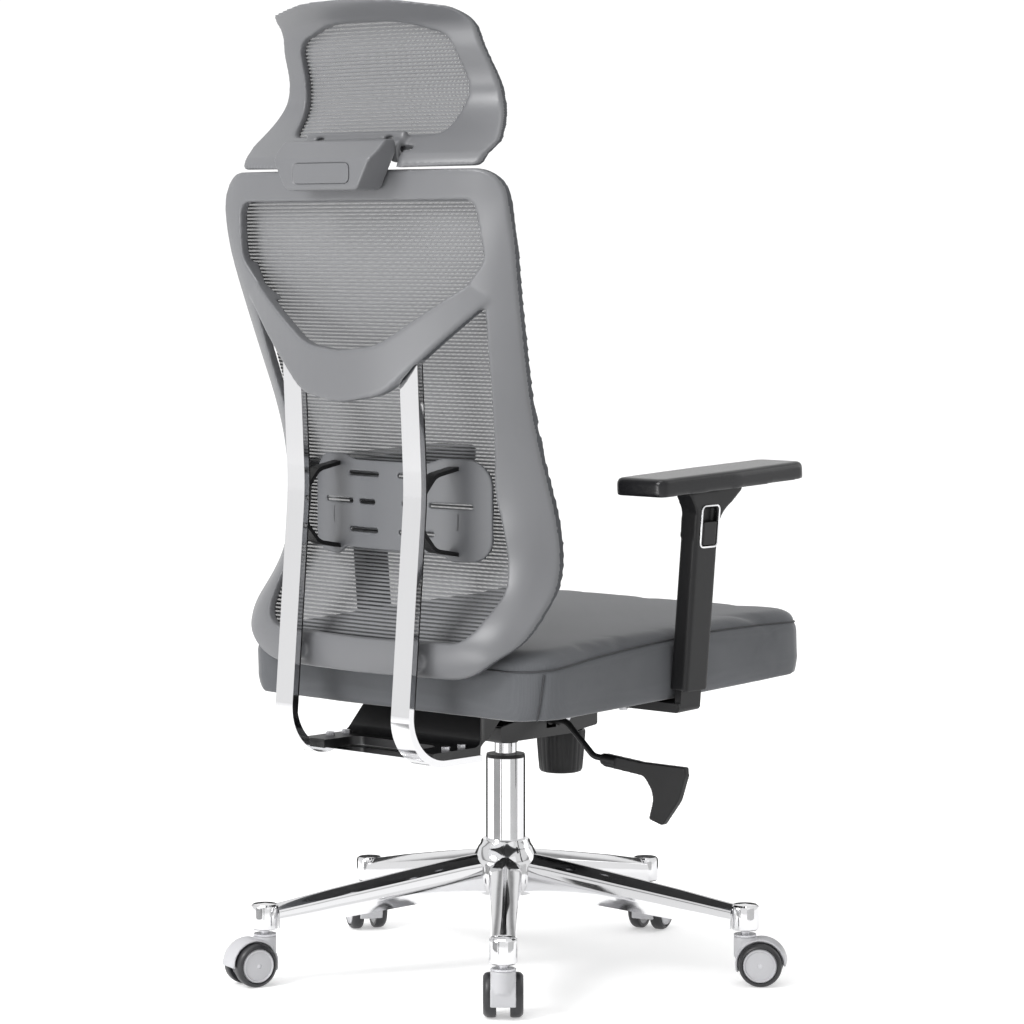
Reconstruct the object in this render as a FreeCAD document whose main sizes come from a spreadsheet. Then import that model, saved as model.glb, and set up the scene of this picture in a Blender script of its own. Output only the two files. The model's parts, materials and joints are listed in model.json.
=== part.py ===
import FreeCAD, Part
import math
import os

import Sketcher
from FreeCAD import Placement, Rotation, Vector

# A swivel chair with a mesh back, a headrest, height-adjustable arms and a five-legged star base.
# Millimetres.  +Z is up, the sitter faces -Y, and the origin is on the gas lift's axis at floor level.

DIMENSIONS = {
    # star base and column
    "base_radius": 315, "leg_turn": 132.2, "leg_count": 5, "leg_cap_radius": 17.5,
    "leg_wall": 3, "leg_cap_bottom": 69, "leg_cap_top": 100, "hub_bottom": 98, "hub_top": 168, "hub_radius": 42,
    "column_radius": 25, "column_wall": 2, "column_floor": 104, "column_top": 272,
    "lift_radius": 14, "lift_bottom": 120, "lift_top": 322, "lift_wall": 1.5, "rod_radius": 5,
    "rod_top": 284, "valve_radius": 3, "running_gap": 0.05,
    # castors
    "wheel_radius": 27.25, "wheel_width": 16.2, "wheel_inner": 8.3, "castor_trail": 20.4,
    "axle_radius": 3, "stem_radius": 5.45, "hood_radius": 31.8, "hood_width": 31, "hood_top": 61,
    "hood_bottom": 17, "pocket_radius": 28.9, "web_half": 7.4,
    # tilt mechanism
    "tilt_back": -60, "tilt_height": 322, "shaft_radius": 6, "housing_half": 42, "wall": 4,
    "nose_half": 33, "plate_half": 95, "plate_thickness": 3, "flange_half": 48,
    "knob_forward": -105, "knob_radius": 32, "knob_foot_radius": 28, "knob_top": 297,
    "bolt_radius": 5, "lever_radius": 4, "spring_wire": 4.4, "spring_radius": 12, "spring_turns": 5,
    # seat
    "seat_slope": 2.2, "seat_width": 504, "seat_front": -240, "seat_rear": 275, "seat_lift": 40,
    "cushion_height": 84, "board_thickness": 12, "board_margin": 26, "screw_radius": 3,
    # arms
    "arm_spread": 237, "arm_along": -40, "arm_splay": 4.8, "sleeve_depth": 44, "sleeve_width": 26,
    "sleeve_length": 249, "post_depth": 38, "post_width": 9, "pad_length": 279, "pad_width": 85,
    "pad_thickness": 22, "button_height": 28, "button_depth": 27, "foot_thickness": 11.5,
    # back
    "bar_spread": 99.5, "bar_width": 30, "bar_thickness": 8, "frame_thickness": 14,
    "vee_thickness": 16, "mesh_thickness": 1.6, "lumbar_thickness": 4,
    # headrest
    "headrest_thickness": 12, "headrest_bar_radius": 13, "headrest_pin_radius": 4,
}

doc = FreeCAD.newDocument("swivel_chair")
sheet = doc.addObject("Spreadsheet::Sheet", "dims")
for line, (alias, value) in enumerate(DIMENSIONS.items(), 1):
    sheet.set("A%d" % line, alias)
    sheet.set("B%d" % line, str(value))
    sheet.setAlias("B%d" % line, alias)
doc.recompute()

ORIGIN = Vector(0, 0, 0)
X_AXIS = Vector(1, 0, 0)
Y_AXIS = Vector(0, 1, 0)
Z_AXIS = Vector(0, 0, 1)
nodes = []


def amount(text):
    """The number that a sheet expression, or a plain number, stands for."""
    return float(sheet.evalExpression(text)) if isinstance(text, str) else float(text)


def bind(obj, **expressions):
    """Tie properties of an object to the sheet."""
    for prop, text in expressions.items():
        if isinstance(text, str):
            obj.setExpression(prop, text)
        else:
            setattr(obj, prop, text)
    return obj


def node(obj, label):
    """Name a finished sub-part; its label is its file's name."""
    obj.Label = label
    nodes.append(obj)
    return obj


# ---------------------------------------------------------------- building blocks

def placed(at=(0, 0, 0), axis=Z_AXIS):
    return Placement(Vector(*[amount(value) for value in at]), Rotation(Z_AXIS, axis))


def cylinder(radius, height, at=(0, 0, 0), axis=Z_AXIS):
    obj = bind(doc.addObject("Part::Cylinder", "cylinder"), Radius=radius, Height=height)
    obj.Placement = placed(at, axis)
    return obj


def box(low, high):
    """A box between two corners, each coordinate an expression or a number."""
    sides = ["(%s) - (%s)" % (top, bottom) for bottom, top in zip(low, high)]
    obj = bind(doc.addObject("Part::Box", "box"), Length=sides[0], Width=sides[1], Height=sides[2])
    obj.Placement = placed(low)
    return obj


def fuse(*parts):
    obj = doc.addObject("Part::MultiFuse", "fuse")
    obj.Shapes = list(parts)
    return obj


def cut(base, *tools):
    obj = doc.addObject("Part::Cut", "cut")
    obj.Base = base
    obj.Tool = tools[0] if len(tools) == 1 else fuse(*tools)
    return obj


def solid(shape, label, placement=None):
    """A sub-part whose shape is worked out here from the sheet's values."""
    obj = doc.addObject("Part::Feature", label)
    obj.Shape = shape
    if placement:
        obj.Placement = placement.multiply(shape.Placement)
    return obj


def new_body(label):
    return doc.addObject("PartDesign::Body", label)


def sketch_on(body, role, offset=0):
    plane = [item for item in body.Origin.OriginFeatures if item.Role == role][0]
    sketch = body.newObject("Sketcher::SketchObject", body.Name + "_sketch")
    sketch.AttachmentSupport = [(plane, "")]
    sketch.MapMode = "FlatFace"
    sketch.AttachmentOffset = Placement(Vector(0, 0, offset), Rotation())
    return sketch


def polygon(sketch, points):
    """A closed outline whose corners are held by constraints, bound to the sheet where they can be."""
    corners = [(amount(across), amount(up)) for across, up in points]
    total = len(corners)
    first = sketch.GeometryCount
    for k in range(total):
        here, there = corners[k], corners[(k + 1) % total]
        sketch.addGeometry(Part.LineSegment(Vector(*here, 0), Vector(*there, 0)), False)
    for k in range(total):
        sketch.addConstraint(Sketcher.Constraint("Coincident", first + k, 2, first + (k + 1) % total, 1))
    for k, point in enumerate(points):
        for kind, text, value in zip(("DistanceX", "DistanceY"), point, corners[k]):
            index = sketch.addConstraint(Sketcher.Constraint(kind, -1, 1, first + k, 1, value))
            if isinstance(text, str):
                sketch.setExpression("Constraints[%d]" % index, text)
    return sketch


def revolved(label, points):
    """A body turned about Z from (radius, height) points."""
    body = new_body(label)
    sketch = polygon(sketch_on(body, "XZ_Plane"), points)
    feature = body.newObject("PartDesign::Revolution", label + "_turn")
    feature.Profile = sketch
    feature.ReferenceAxis = (sketch, ["V_Axis"])
    feature.Angle = 360
    return body


def pad(body, sketch, length, both_ways=True):
    feature = body.newObject("PartDesign::Pad", body.Name + "_pad")
    feature.Profile = sketch
    bind(feature, Length=length)
    if both_ways:
        feature.SideType = "Symmetric"
    return feature


def rounded(points):
    """Lines and tangent arcs round a closed outline of (x, y, corner radius) points, in the XY plane."""
    total = len(points)
    corners = []
    for k in range(total):
        before, here, after = (Vector(*points[(k + step) % total][:2], 0) for step in (-1, 0, 1))
        radius = points[k][2]
        back = (before - here) * (1 / (before - here).Length)
        ahead = (after - here) * (1 / (after - here).Length)
        half = back.getAngle(ahead) / 2
        if radius <= 0 or half > math.pi / 2 - 1e-4:
            corners.append((here, here, here))
            continue
        reach = min(radius / math.tan(half), 0.49 * (before - here).Length, 0.49 * (after - here).Length)
        radius = reach * math.tan(half)
        middle = here + (back + ahead).normalize() * (radius / math.sin(half) - radius)
        corners.append((here + back * reach, middle, here + ahead * reach))
    edges = []
    for k in range(total):
        start, middle, end = corners[k]
        if (end - start).Length > 1e-6:
            edges.append(Part.Arc(start, middle, end).toShape())
        following = corners[(k + 1) % total][0]
        if (following - end).Length > 1e-6:
            edges.append(Part.LineSegment(end, following).toShape())
    return Part.Wire(edges)


def face_xz(outline):
    """The outline's (x, z) face, standing at y = 0."""
    face = Part.Face(outline)
    face.rotate(ORIGIN, X_AXIS, 90)
    return face


def prism_y(outline, near, far):
    """An (x, z) outline carried from y = near to y = far."""
    face = face_xz(outline)
    face.translate(Vector(0, near, 0))
    return face.extrude(Vector(0, far - near, 0))


def prism_x(outline, low, high):
    """A (y, z) outline carried from x = low to x = high."""
    face = Part.Face(outline)
    face.rotate(ORIGIN, Vector(1, 1, 1), 120)
    face.translate(Vector(low, 0, 0))
    return face.extrude(Vector(high - low, 0, 0))


def prism_z(outline, low, high):
    face = Part.Face(outline)
    face.translate(Vector(0, 0, low))
    return face.extrude(Vector(0, 0, high - low))


def bent_sheet(depth, across, heights, thickness):
    """A sheet whose rear face is y = depth(x, z), smooth through a grid of points, cut later to shape."""
    grid = [[Vector(x, depth(x, z), z) for x in across] for z in heights]
    surface = Part.BSplineSurface()
    surface.interpolate(grid)
    return surface.toShape().extrude(Vector(0, -thickness, 0))


def between(value, table):
    """Straight-line reading of a table of (value, result) rows."""
    if value <= table[0][0]:
        return table[0][1]
    for (low, first), (high, second) in zip(table, table[1:]):
        if value <= high:
            return first + (second - first) * (value - low) / (high - low)
    return table[-1][1]


def band(points, thickness):
    """A strip's outline: a path of (x, y, bend radius) points, thickened to both sides."""
    sides = []
    for side in (1, -1):
        row = []
        for k, (x, y, radius) in enumerate(points):
            here = Vector(x, y, 0)
            ways = []
            if k > 0:
                ways.append((here - Vector(*points[k - 1][:2], 0)).normalize())
            if k < len(points) - 1:
                ways.append((Vector(*points[k + 1][:2], 0) - here).normalize())
            along = (ways[0] + ways[-1]).normalize()
            normal = Vector(-along.y, along.x, 0) * side
            stretch = thickness / 2 / max(0.2, normal.dot(Vector(-ways[0].y, ways[0].x, 0) * side))
            spot = here + normal * stretch
            turn = ways[0].cross(ways[-1]).z * side
            bend = radius - thickness / 2 if turn > 0 else radius + thickness / 2
            row.append((spot.x, spot.y, bend if radius > 0 else 0))
        sides.append(row)
    return rounded(sides[0] + sides[1][::-1])


# ---------------------------------------------------------------- star base and gas lift

D = DIMENSIONS
GAP = D["running_gap"]


def star_base():
    """Hub and five tapering legs, each ending in a round cap with a castor socket."""
    hub = revolved("hub", [("dims.column_radius", "dims.hub_bottom"), (34, "dims.hub_bottom"),
                           ("dims.hub_radius", 112), ("dims.hub_radius", 142), (33, 160),
                           (30, "dims.hub_top"), ("dims.column_radius", "dims.hub_top")])
    doc.recompute()
    reach = D["base_radius"]
    sections, hollows = [], []
    for x, half_width, low, high in ((32, 21, 104, 150), (150, 19, 89, 131), (reach - 6, 15.5, 70, 99)):
        outline = rounded([(-half_width, low, 6), (half_width, low, 6),
                           (half_width * 0.8, high, 8), (-half_width * 0.8, high, 8)])
        inner = half_width - D["leg_wall"]
        channel = rounded([(-inner, low - 8, 4), (inner, low - 8, 4), (inner * 0.8, high - 4, 6),
                           (-inner * 0.8, high - 4, 6)])
        for wire, row in ((outline, sections), (channel, hollows)):
            wire.rotate(ORIGIN, Vector(1, 1, 1), 120)
            wire.translate(Vector(x, 0, 0))
            row.append(wire)
    leg = Part.makeLoft(sections, True, False).cut(Part.makeLoft(hollows, True, False))
    height = D["leg_cap_top"] - D["leg_cap_bottom"]
    cap = Part.makeCylinder(D["leg_cap_radius"], height, Vector(reach, 0, D["leg_cap_bottom"]))
    leg = leg.fuse(cap.makeFillet(5, [cap.Edges[0]]) if len(cap.Edges) else cap)
    bore = Part.makeCylinder(D["column_radius"], 80, Vector(0, 0, 95))
    socket = Part.makeCylinder(D["stem_radius"] + GAP, 24, Vector(reach, 0, D["leg_cap_bottom"]))
    leg = leg.cut(bore).cut(socket)
    shape = hub.Shape.copy()
    for k in range(D["leg_count"]):
        arm = leg.copy()
        arm.rotate(ORIGIN, Z_AXIS, D["leg_turn"] + 360 / D["leg_count"] * k)
        shape = shape.fuse(arm)
    return solid(shape.removeSplitter(), "base_casting")


node(star_base(), "star_base")

tube_inner = "dims.column_radius - dims.column_wall"
node(revolved("column", [("dims.rod_radius + 0.4", "dims.column_floor"),
                         ("dims.column_radius", "dims.column_floor"),
                         ("dims.column_radius", "dims.column_top"), (tube_inner, "dims.column_top"),
                         (tube_inner, "dims.column_floor + 4"),
                         ("dims.rod_radius + 0.4", "dims.column_floor + 4")]), "outer_column")
bush_bore = "dims.lift_radius + dims.running_gap"
node(revolved("bush", [(bush_bore, 196), (tube_inner, 196), (tube_inner, "dims.column_top"),
                       ("dims.column_radius", "dims.column_top"), (24.2, "dims.column_top + 4.5"),
                       (bush_bore, "dims.column_top + 4.5")]), "guide_bush")
bearing_low = "dims.column_floor + 4"
node(revolved("bearing", [(5.2, bearing_low), (11, bearing_low), (11, "dims.column_floor + 8.9"),
                          (5.2, "dims.column_floor + 8.9")]), "thrust_bearing")
groove = "dims.rod_radius - 1"
node(revolved("rod", [(0, 98.5), ("dims.rod_radius", 98.5), ("dims.rod_radius", 100.6), (groove, 100.6),
                      (groove, 102.6), ("dims.rod_radius", 102.6),
                      ("dims.rod_radius", "dims.column_floor + 9"), (9, "dims.column_floor + 9"),
                      (9, "dims.column_floor + 12"), ("dims.rod_radius", "dims.column_floor + 12"),
                      ("dims.rod_radius", "dims.rod_top - 16"),
                      ("dims.lift_radius - dims.lift_wall - 0.05", "dims.rod_top - 16"),
                      ("dims.lift_radius - dims.lift_wall - 0.05", "dims.rod_top"),
                      (0, "dims.rod_top")]), "piston_rod")
node(revolved("clip", [(groove, 100.8), (8, 100.8), (8, 102.3), (groove, 102.3)]), "retaining_clip")
lift_bore = "dims.lift_radius - dims.lift_wall"
pin_bore = "dims.valve_radius + dims.running_gap"
node(revolved("cylinder_body", [("dims.rod_radius + dims.running_gap", "dims.lift_bottom"),
                                ("dims.lift_radius", "dims.lift_bottom"),
                                ("dims.lift_radius", "dims.lift_top"), (pin_bore, "dims.lift_top"),
                                (pin_bore, "dims.lift_top - 22"), (lift_bore, "dims.lift_top - 22"),
                                (lift_bore, "dims.lift_bottom + 12"),
                                ("dims.rod_radius + dims.running_gap", "dims.lift_bottom + 12")]),
     "gas_cylinder")
node(revolved("pin", [(0, "dims.lift_top - 15"), ("dims.valve_radius", "dims.lift_top - 15"),
                      ("dims.valve_radius", "dims.lift_top + 4"), (0, "dims.lift_top + 4")]),
     "valve_pin")


# ---------------------------------------------------------------- castors

# The way each castor happens to trail, in degrees from +X, and the legs they stand on.
TRAILS = (312.7, 214.7, 288.5, 328.3, 73.3)


def castor_frame(k):
    """Where castor k stands: its stem's foot, turned to the way it trails."""
    angle = math.radians(D["leg_turn"] + 360 / D["leg_count"] * k)
    foot = Vector(D["base_radius"] * math.cos(angle), D["base_radius"] * math.sin(angle), 0)
    return Placement(foot, Rotation(Z_AXIS, TRAILS[k]))


def castor_hood():
    """Web and fender over the wheels, with the stem's boss; the wheels run in its side pockets."""
    trail, centre = D["castor_trail"], D["wheel_radius"]
    half = D["hood_width"] / 2
    dome = Part.makeCylinder(D["hood_radius"], D["hood_width"], Vector(trail, -half, centre), Y_AXIS)
    boss = Part.makeCylinder(14, D["hood_top"] - 34, Vector(0, 0, 34))
    hood = dome.fuse(boss)
    for side in (1, -1):
        start = Vector(trail, side * D["web_half"], centre)
        hood = hood.cut(Part.makeCylinder(D["pocket_radius"], 40, start, Y_AXIS * side))
    hood = hood.cut(Part.makeBox(90, 60, 40, Vector(-30, -30, D["hood_bottom"] - 40)))
    hood = hood.cut(Part.makeBox(60, 60, 60, Vector(trail + 9, -30, 26 - 60)))
    hood = hood.cut(Part.makeCylinder(D["stem_radius"], 40, Vector(0, 0, 40)))
    hood = hood.cut(Part.makeCylinder(D["axle_radius"], 60, Vector(trail, -30, centre), Y_AXIS))
    return hood.common(Part.makeBox(120, 60, D["hood_top"], Vector(-40, -30, 0)))


def castor_pins():
    """The swivel stem with its washer, and the wheels' axle."""
    stem = Part.makeCylinder(D["stem_radius"], 51.5, Vector(0, 0, 40))
    stem = stem.fuse(Part.makeCylinder(14, 2.4, Vector(0, 0, D["hood_top"])))
    low = Vector(D["castor_trail"], -23, D["wheel_radius"])
    return Part.makeCompound([stem, Part.makeCylinder(D["axle_radius"], 46, low, Y_AXIS)])


def castor_wheel(side):
    """One wheel, turned about its axle: a rounded tread and a dished outer disc."""
    inner = D["wheel_inner"]
    outer = inner + D["wheel_width"]
    bore = D["axle_radius"] + GAP
    radius = D["wheel_radius"]
    profile = [(bore, inner, 0), (radius, inner, 3), (radius, outer - 1.2, 4.5), (21.4, outer, 0),
               (20.2, outer - 1.6, 0), (8, outer - 0.4, 0), (bore, outer - 0.4, 0)]
    face = Part.Face(rounded(profile))
    wheel = face.revolve(ORIGIN, Y_AXIS, 360)
    if side < 0:
        wheel = wheel.mirror(ORIGIN, Y_AXIS)
    wheel.translate(Vector(D["castor_trail"], 0, radius))
    return wheel


CASTOR_PIECES = {"hood": castor_hood(), "pins": castor_pins(),
                 "wheel_left": castor_wheel(1), "wheel_right": castor_wheel(-1)}
for k in range(D["leg_count"]):
    for piece, shape in CASTOR_PIECES.items():
        label = "castor_%d_%s" % (k + 1, piece)
        node(solid(shape.copy(), label, castor_frame(k)), label)


# ---------------------------------------------------------------- tilt mechanism

TILT = Vector(0, D["tilt_back"], D["tilt_height"])
SEAT_FRAME = Placement(TILT, Rotation(X_AXIS, -D["seat_slope"]))


def housing():
    """Open-topped channel round the lift's collar, the tilt shaft, the spring and the release yoke."""
    half, wall, nose = D["housing_half"], D["wall"], D["nose_half"]
    side_view = [(-139, 303, 4), (-92, 298, 4), (54, 298, 4), (54, 318, 2), (-92, 344, 6), (-139, 340, 8)]
    inner_view = [(-134, 308, 2), (-90, 302, 2), (50, 302, 2), (50, 360, 0), (-134, 360, 0)]
    shell = prism_x(rounded(side_view), -half, half)
    for side in (1, -1):
        low = nose if side > 0 else -nose - 60
        shell = shell.cut(Part.makeBox(60, 60, 80, Vector(low, -150, 290)))
    room = prism_x(rounded(inner_view), -half + wall, half - wall)
    for side in (1, -1):
        low = nose - wall if side > 0 else -nose + wall - 60
        room = room.cut(Part.makeBox(60, 60 + wall, 80, Vector(low, -150, 290)))
    shell = shell.cut(room)
    collar = Part.makeCylinder(20, D["lift_top"] - 300, Vector(0, 0, 300))
    collar = collar.fuse(Part.makeCylinder(15.5, 9.5, Vector(0, 0, 291)))
    shell = shell.fuse(collar)
    ribs = [Part.makeBox(12, 4, 31, Vector(-36, y, 301)) for y in (-53, 9.5)]
    boss = Part.makeCylinder(10, 35, Vector(0, D["knob_forward"], 303))
    shell = shell.fuse(ribs + [boss])
    holes = [Part.makeCylinder(D["lift_radius"], 60, Vector(0, 0, 285)),
             Part.makeCylinder(D["shaft_radius"] + GAP, 120, Vector(-60, TILT.y, TILT.z), X_AXIS),
             Part.makeCylinder(2.55, 80, Vector(-30, -60, 326), Y_AXIS),
             Part.makeCylinder(D["bolt_radius"], 60, Vector(0, D["knob_forward"], 290)),
             Part.makeBox(14, 18, 23, Vector(-46, -49, 309))]
    for hole in holes:
        shell = shell.cut(hole)
    return shell


node(solid(housing(), "housing_casting"), "mechanism_housing")
node(cylinder("dims.shaft_radius", "2 * dims.flange_half + 8",
              ("-dims.flange_half - 4", "dims.tilt_back", "dims.tilt_height"), X_AXIS), "tilt_shaft")


def spring():
    """A coil round the tilt shaft, wound of one wire, with two straight legs."""
    wire, radius = D["spring_wire"], D["spring_radius"]
    pitch = wire + 1.2
    length = pitch * D["spring_turns"]
    helix = Part.makeHelix(pitch, length, radius)
    ring = Part.Wire(Part.makeCircle(wire / 2, Vector(radius, 0, 0), Y_AXIS))
    coil = Part.Wire(helix.Edges).makePipeShell([ring], True, True)
    coil.rotate(ORIGIN, Y_AXIS, 90)
    coil.translate(TILT + Vector(4, 0, 0))
    return coil


node(solid(spring(), "spring_coil"), "torsion_spring")

node(cylinder("dims.bolt_radius", 86, (0, "dims.knob_forward", 250)), "tension_bolt")
knob_at = Placement(Vector(0, D["knob_forward"], 0), Rotation())
knob = revolved("knob", [("dims.bolt_radius + dims.running_gap", 242),
                         ("dims.knob_foot_radius - 4", 242), ("dims.knob_foot_radius", 246),
                         ("dims.knob_radius", "dims.knob_top"),
                         ("dims.knob_radius - 4", "dims.knob_top"),
                         ("dims.knob_foot_radius - 4", 256),
                         ("dims.bolt_radius + dims.running_gap", 256)])
knob.Placement = knob_at
node(knob, "tension_knob")

yoke_bar = box((-34, -5, 326.8), (2, 5, 329.6))
yoke_side = box((-35, -48.5, 323.6), (-25, 9, 329.6))
yoke_pin = cylinder(2.5, 66, (-30, -52.9, 326), Y_AXIS)
yoke_socket = cylinder(6.5, 31, (-41, -40, 319), X_AXIS)
yoke_bore = cylinder("dims.lever_radius + dims.running_gap", 40, (-43, -40, 319), X_AXIS)
node(cut(fuse(yoke_bar, yoke_side, yoke_pin, yoke_socket), yoke_bore), "lever_yoke")


def round_bar(points, radius):
    """A round rod along straight runs joined by arcs; points are (x, y, z, bend radius)."""
    edges = []
    last = Vector(*points[0][:3])
    for k in range(1, len(points) - 1):
        here = Vector(*points[k][:3])
        back = (Vector(*points[k - 1][:3]) - here).normalize()
        ahead = (Vector(*points[k + 1][:3]) - here).normalize()
        half = back.getAngle(ahead) / 2
        reach = points[k][3] / math.tan(half)
        middle = here + (back + ahead).normalize() * (points[k][3] / math.sin(half) - points[k][3])
        edges.append(Part.LineSegment(last, here + back * reach).toShape())
        edges.append(Part.Arc(here + back * reach, middle, here + ahead * reach).toShape())
        last = here + ahead * reach
    end = Vector(*points[-1][:3])
    edges.append(Part.LineSegment(last, end).toShape())
    start = Vector(*points[0][:3])
    ring = Part.Wire(Part.makeCircle(radius, start, Vector(*points[1][:3]) - start))
    return Part.Wire(edges).makePipeShell([ring], True, False, 2)


LEVER_PATH = [(-14, -40, 319, 0), (-68, -40, 319, 14), (-112, -42, 279, 16), (-150, -44, 276, 0)]
node(solid(round_bar(LEVER_PATH, D["lever_radius"]), "lever_wire"), "lever_rod")


def paddle():
    """Flat grip with a blade that hangs from its outer end."""
    outline = [(-128, 284, 3), (-128, 268, 3), (-196, 262, 14), (-213, 240, 30), (-204, 209, 3),
               (-226, 203, 5), (-252, 236, 40), (-263, 268, 5), (-262, 279, 3), (-192, 279, 10)]
    blade = prism_y(rounded(outline), -40.5, -49.5)
    sleeve = Part.makeCylinder(7.2, 24, Vector(-126, -43, 277), Vector(-1, -0.05, -0.06))
    rod = round_bar(LEVER_PATH, D["lever_radius"])
    return blade.fuse(sleeve).cut(rod)


node(solid(paddle(), "lever_grip"), "lever_paddle")


# ---------------------------------------------------------------- seat (drawn level, then sloped)

def tilt_plate():
    """Pressed plate under the seat, with ears on the tilt shaft and a window over the housing."""
    half, thick, top = D["plate_half"], D["plate_thickness"], D["seat_lift"]
    plate = prism_z(rounded([(-half, -78, 14), (half, -78, 14), (half, 214, 14), (-half, 214, 14)]),
                    top - thick, top)
    plate = plate.cut(prism_z(rounded([(-38, 14, 6), (38, 14, 6), (38, 122, 6), (-38, 122, 6)]),
                              top - 10, top + 10))
    bore = Part.makeCylinder(D["shaft_radius"], 120, Vector(-60, 0, 0), X_AXIS)
    ear = rounded([(22, top - thick, 0), (-22, top - thick, 0), (-11, -11, 9), (11, -11, 9)])
    for side in (1, -1):
        inner = side * (D["housing_half"] + 1.5)
        low = min(inner, inner + side * 3.5)
        plate = plate.fuse(prism_x(ear, low, low + 3.5))
    plate = plate.cut(bore)
    for x, y in PLATE_BOLTS + BRACKET_BOLTS:
        plate = plate.cut(Part.makeCylinder(D["screw_radius"] + 0.3, 20, Vector(x, y, top - 10)))
    return plate


PLATE_BOLTS = [(x, y) for x in (-72, 72) for y in (-58, 104)]
BRACKET_BOLTS = [(-72, 150), (72, 150)]
BRACKET_FLOOR = 26.2
node(solid(tilt_plate(), "tilt_plate_pressing", SEAT_FRAME), "tilt_plate")

half_seat = D["seat_width"] / 2
margin = D["board_margin"]
SEAT_PLAN = [(-half_seat + 5, D["seat_front"], 42), (half_seat - 5, D["seat_front"], 42),
             (half_seat, 40, 900), (half_seat - 6, D["seat_rear"], 52),
             (-half_seat + 6, D["seat_rear"], 52), (-half_seat, 40, 900)]
BOARD_PLAN = [(-half_seat + margin, D["seat_front"] + margin, 50),
              (half_seat - margin, D["seat_front"] + margin, 50),
              (half_seat - margin, D["seat_rear"] - margin, 50),
              (-half_seat + margin, D["seat_rear"] - margin, 50)]
ARM_BOLTS = [(side * x, y) for side in (-1, 1) for x in (128, 176) for y in (8, 34)]


def bolt_holes(places, radius, low, high):
    return [Part.makeCylinder(radius, high - low, Vector(x, y, low)) for x, y in places]


def seat_board():
    top = D["seat_lift"]
    board = prism_z(rounded(BOARD_PLAN), top, top + D["board_thickness"])
    for hole in bolt_holes(PLATE_BOLTS + BRACKET_BOLTS + ARM_BOLTS, D["screw_radius"], top - 5, top + 10):
        board = board.cut(hole)
    return board


def seat_cushion():
    """Padded seat: a rounded slab with a waterfall front, hollow below for its board."""
    low = D["seat_lift"]
    slab = prism_z(rounded(SEAT_PLAN), low, low + D["cushion_height"])
    rim = [edge for edge in slab.Edges if edge.BoundBox.ZMin > low + D["cushion_height"] - 1]
    slab = slab.makeFillet(22, rim)
    recess = prism_z(rounded(BOARD_PLAN), low - 5, low + D["board_thickness"])
    return slab.cut(recess)


node(solid(seat_board(), "board_blank", SEAT_FRAME), "seat_board")
node(solid(seat_cushion(), "cushion_form", SEAT_FRAME), "seat_cushion")


# ---------------------------------------------------------------- back bars and their bracket

SPREAD = D["bar_spread"]


def bar_outline():
    """Side view of a bar: down from the vee, a slight waist, then a wide bend to run forward."""
    path = [(275, 797, 0), (266.5, 625, 400), (294.5, 298, 74), (165, 298, 0)]
    return band(path, D["bar_thickness"])


def back_bar(side):
    low = side * SPREAD - D["bar_width"] / 2
    bar = prism_x(bar_outline(), low, low + D["bar_width"])
    for y in BAR_BOLTS:
        bar = bar.cut(Part.makeCylinder(D["screw_radius"], 40, Vector(side * SPREAD, y, 280)))
    return bar


BAR_BOLTS = (186, 214)
for name, side in (("left", 1), ("right", -1)):
    node(solid(back_bar(side), "bar_%s_strip" % name), "back_bar_" + name)

plate = new_body("cross_plate_body")
flat = polygon(sketch_on(plate, "XY_Plane", 296),
               [("-dims.bar_spread + dims.bar_width / 2", 176), ("dims.bar_spread - dims.bar_width / 2", 176),
                ("dims.bar_spread - dims.bar_width / 2", 236),
                ("-dims.bar_spread + dims.bar_width / 2", 236)])
pad(plate, flat, 4, both_ways=False)
node(plate, "cross_plate")


def rear_bracket():
    """Cast bracket from the tilt plate down to the bars, forked into a tongue over each bar."""
    side_view = [(78, 353.4, 2), (152, 350.5, 2), (170, 312, 14), (252, 312, 3), (252, 302, 0),
                 (152, 302, 0), (126, 316, 10), (100, 342, 12), (78, 343, 2)]
    outer, waist = SPREAD + 14, 88
    plan = [(-waist, 70, 0), (waist, 70, 0), (waist, 140, 20), (outer, 168, 10), (outer, 260, 0),
            (72, 260, 0), (72, 196, 16), (-72, 196, 16), (-72, 260, 0), (-outer, 260, 0),
            (-outer, 168, 10), (-waist, 140, 20)]
    bracket = prism_x(rounded(side_view), -outer, outer)
    bracket = bracket.common(prism_z(rounded(plan), 280, 380))
    for side in (-1, 1):
        low = side * SPREAD - D["bar_width"] / 2
        bracket = bracket.cut(prism_x(bar_outline(), low, low + D["bar_width"]))
        for y in BAR_BOLTS:
            bracket = bracket.cut(Part.makeCylinder(D["screw_radius"], 60, Vector(side * SPREAD, y, 290)))
    for hole in bolt_holes(BRACKET_BOLTS, D["screw_radius"], BRACKET_FLOOR - 6, BRACKET_FLOOR + 20):
        hole.Placement = SEAT_FRAME.multiply(hole.Placement)
        bracket = bracket.cut(hole)
    return bracket


node(solid(rear_bracket(), "bracket_casting"), "rear_bracket")


# ---------------------------------------------------------------- arms

def arm_placement(side):
    """The arm's own frame: its foot under the seat, leaning outward."""
    foot = Vector(side * D["arm_spread"], D["arm_along"], 0)
    return Placement(foot, Rotation(Y_AXIS, side * D["arm_splay"]))


def pad_placement(side):
    """The pad's underside: level across, sloping up to the front like the seat."""
    return Placement(Vector(side * 279, -71.5, 624.7), Rotation(X_AXIS, -D["seat_slope"]))


SLEEVE_FOOT = 378
BUTTON_FOOT = 559
POCKET_HEIGHT = 46


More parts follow.
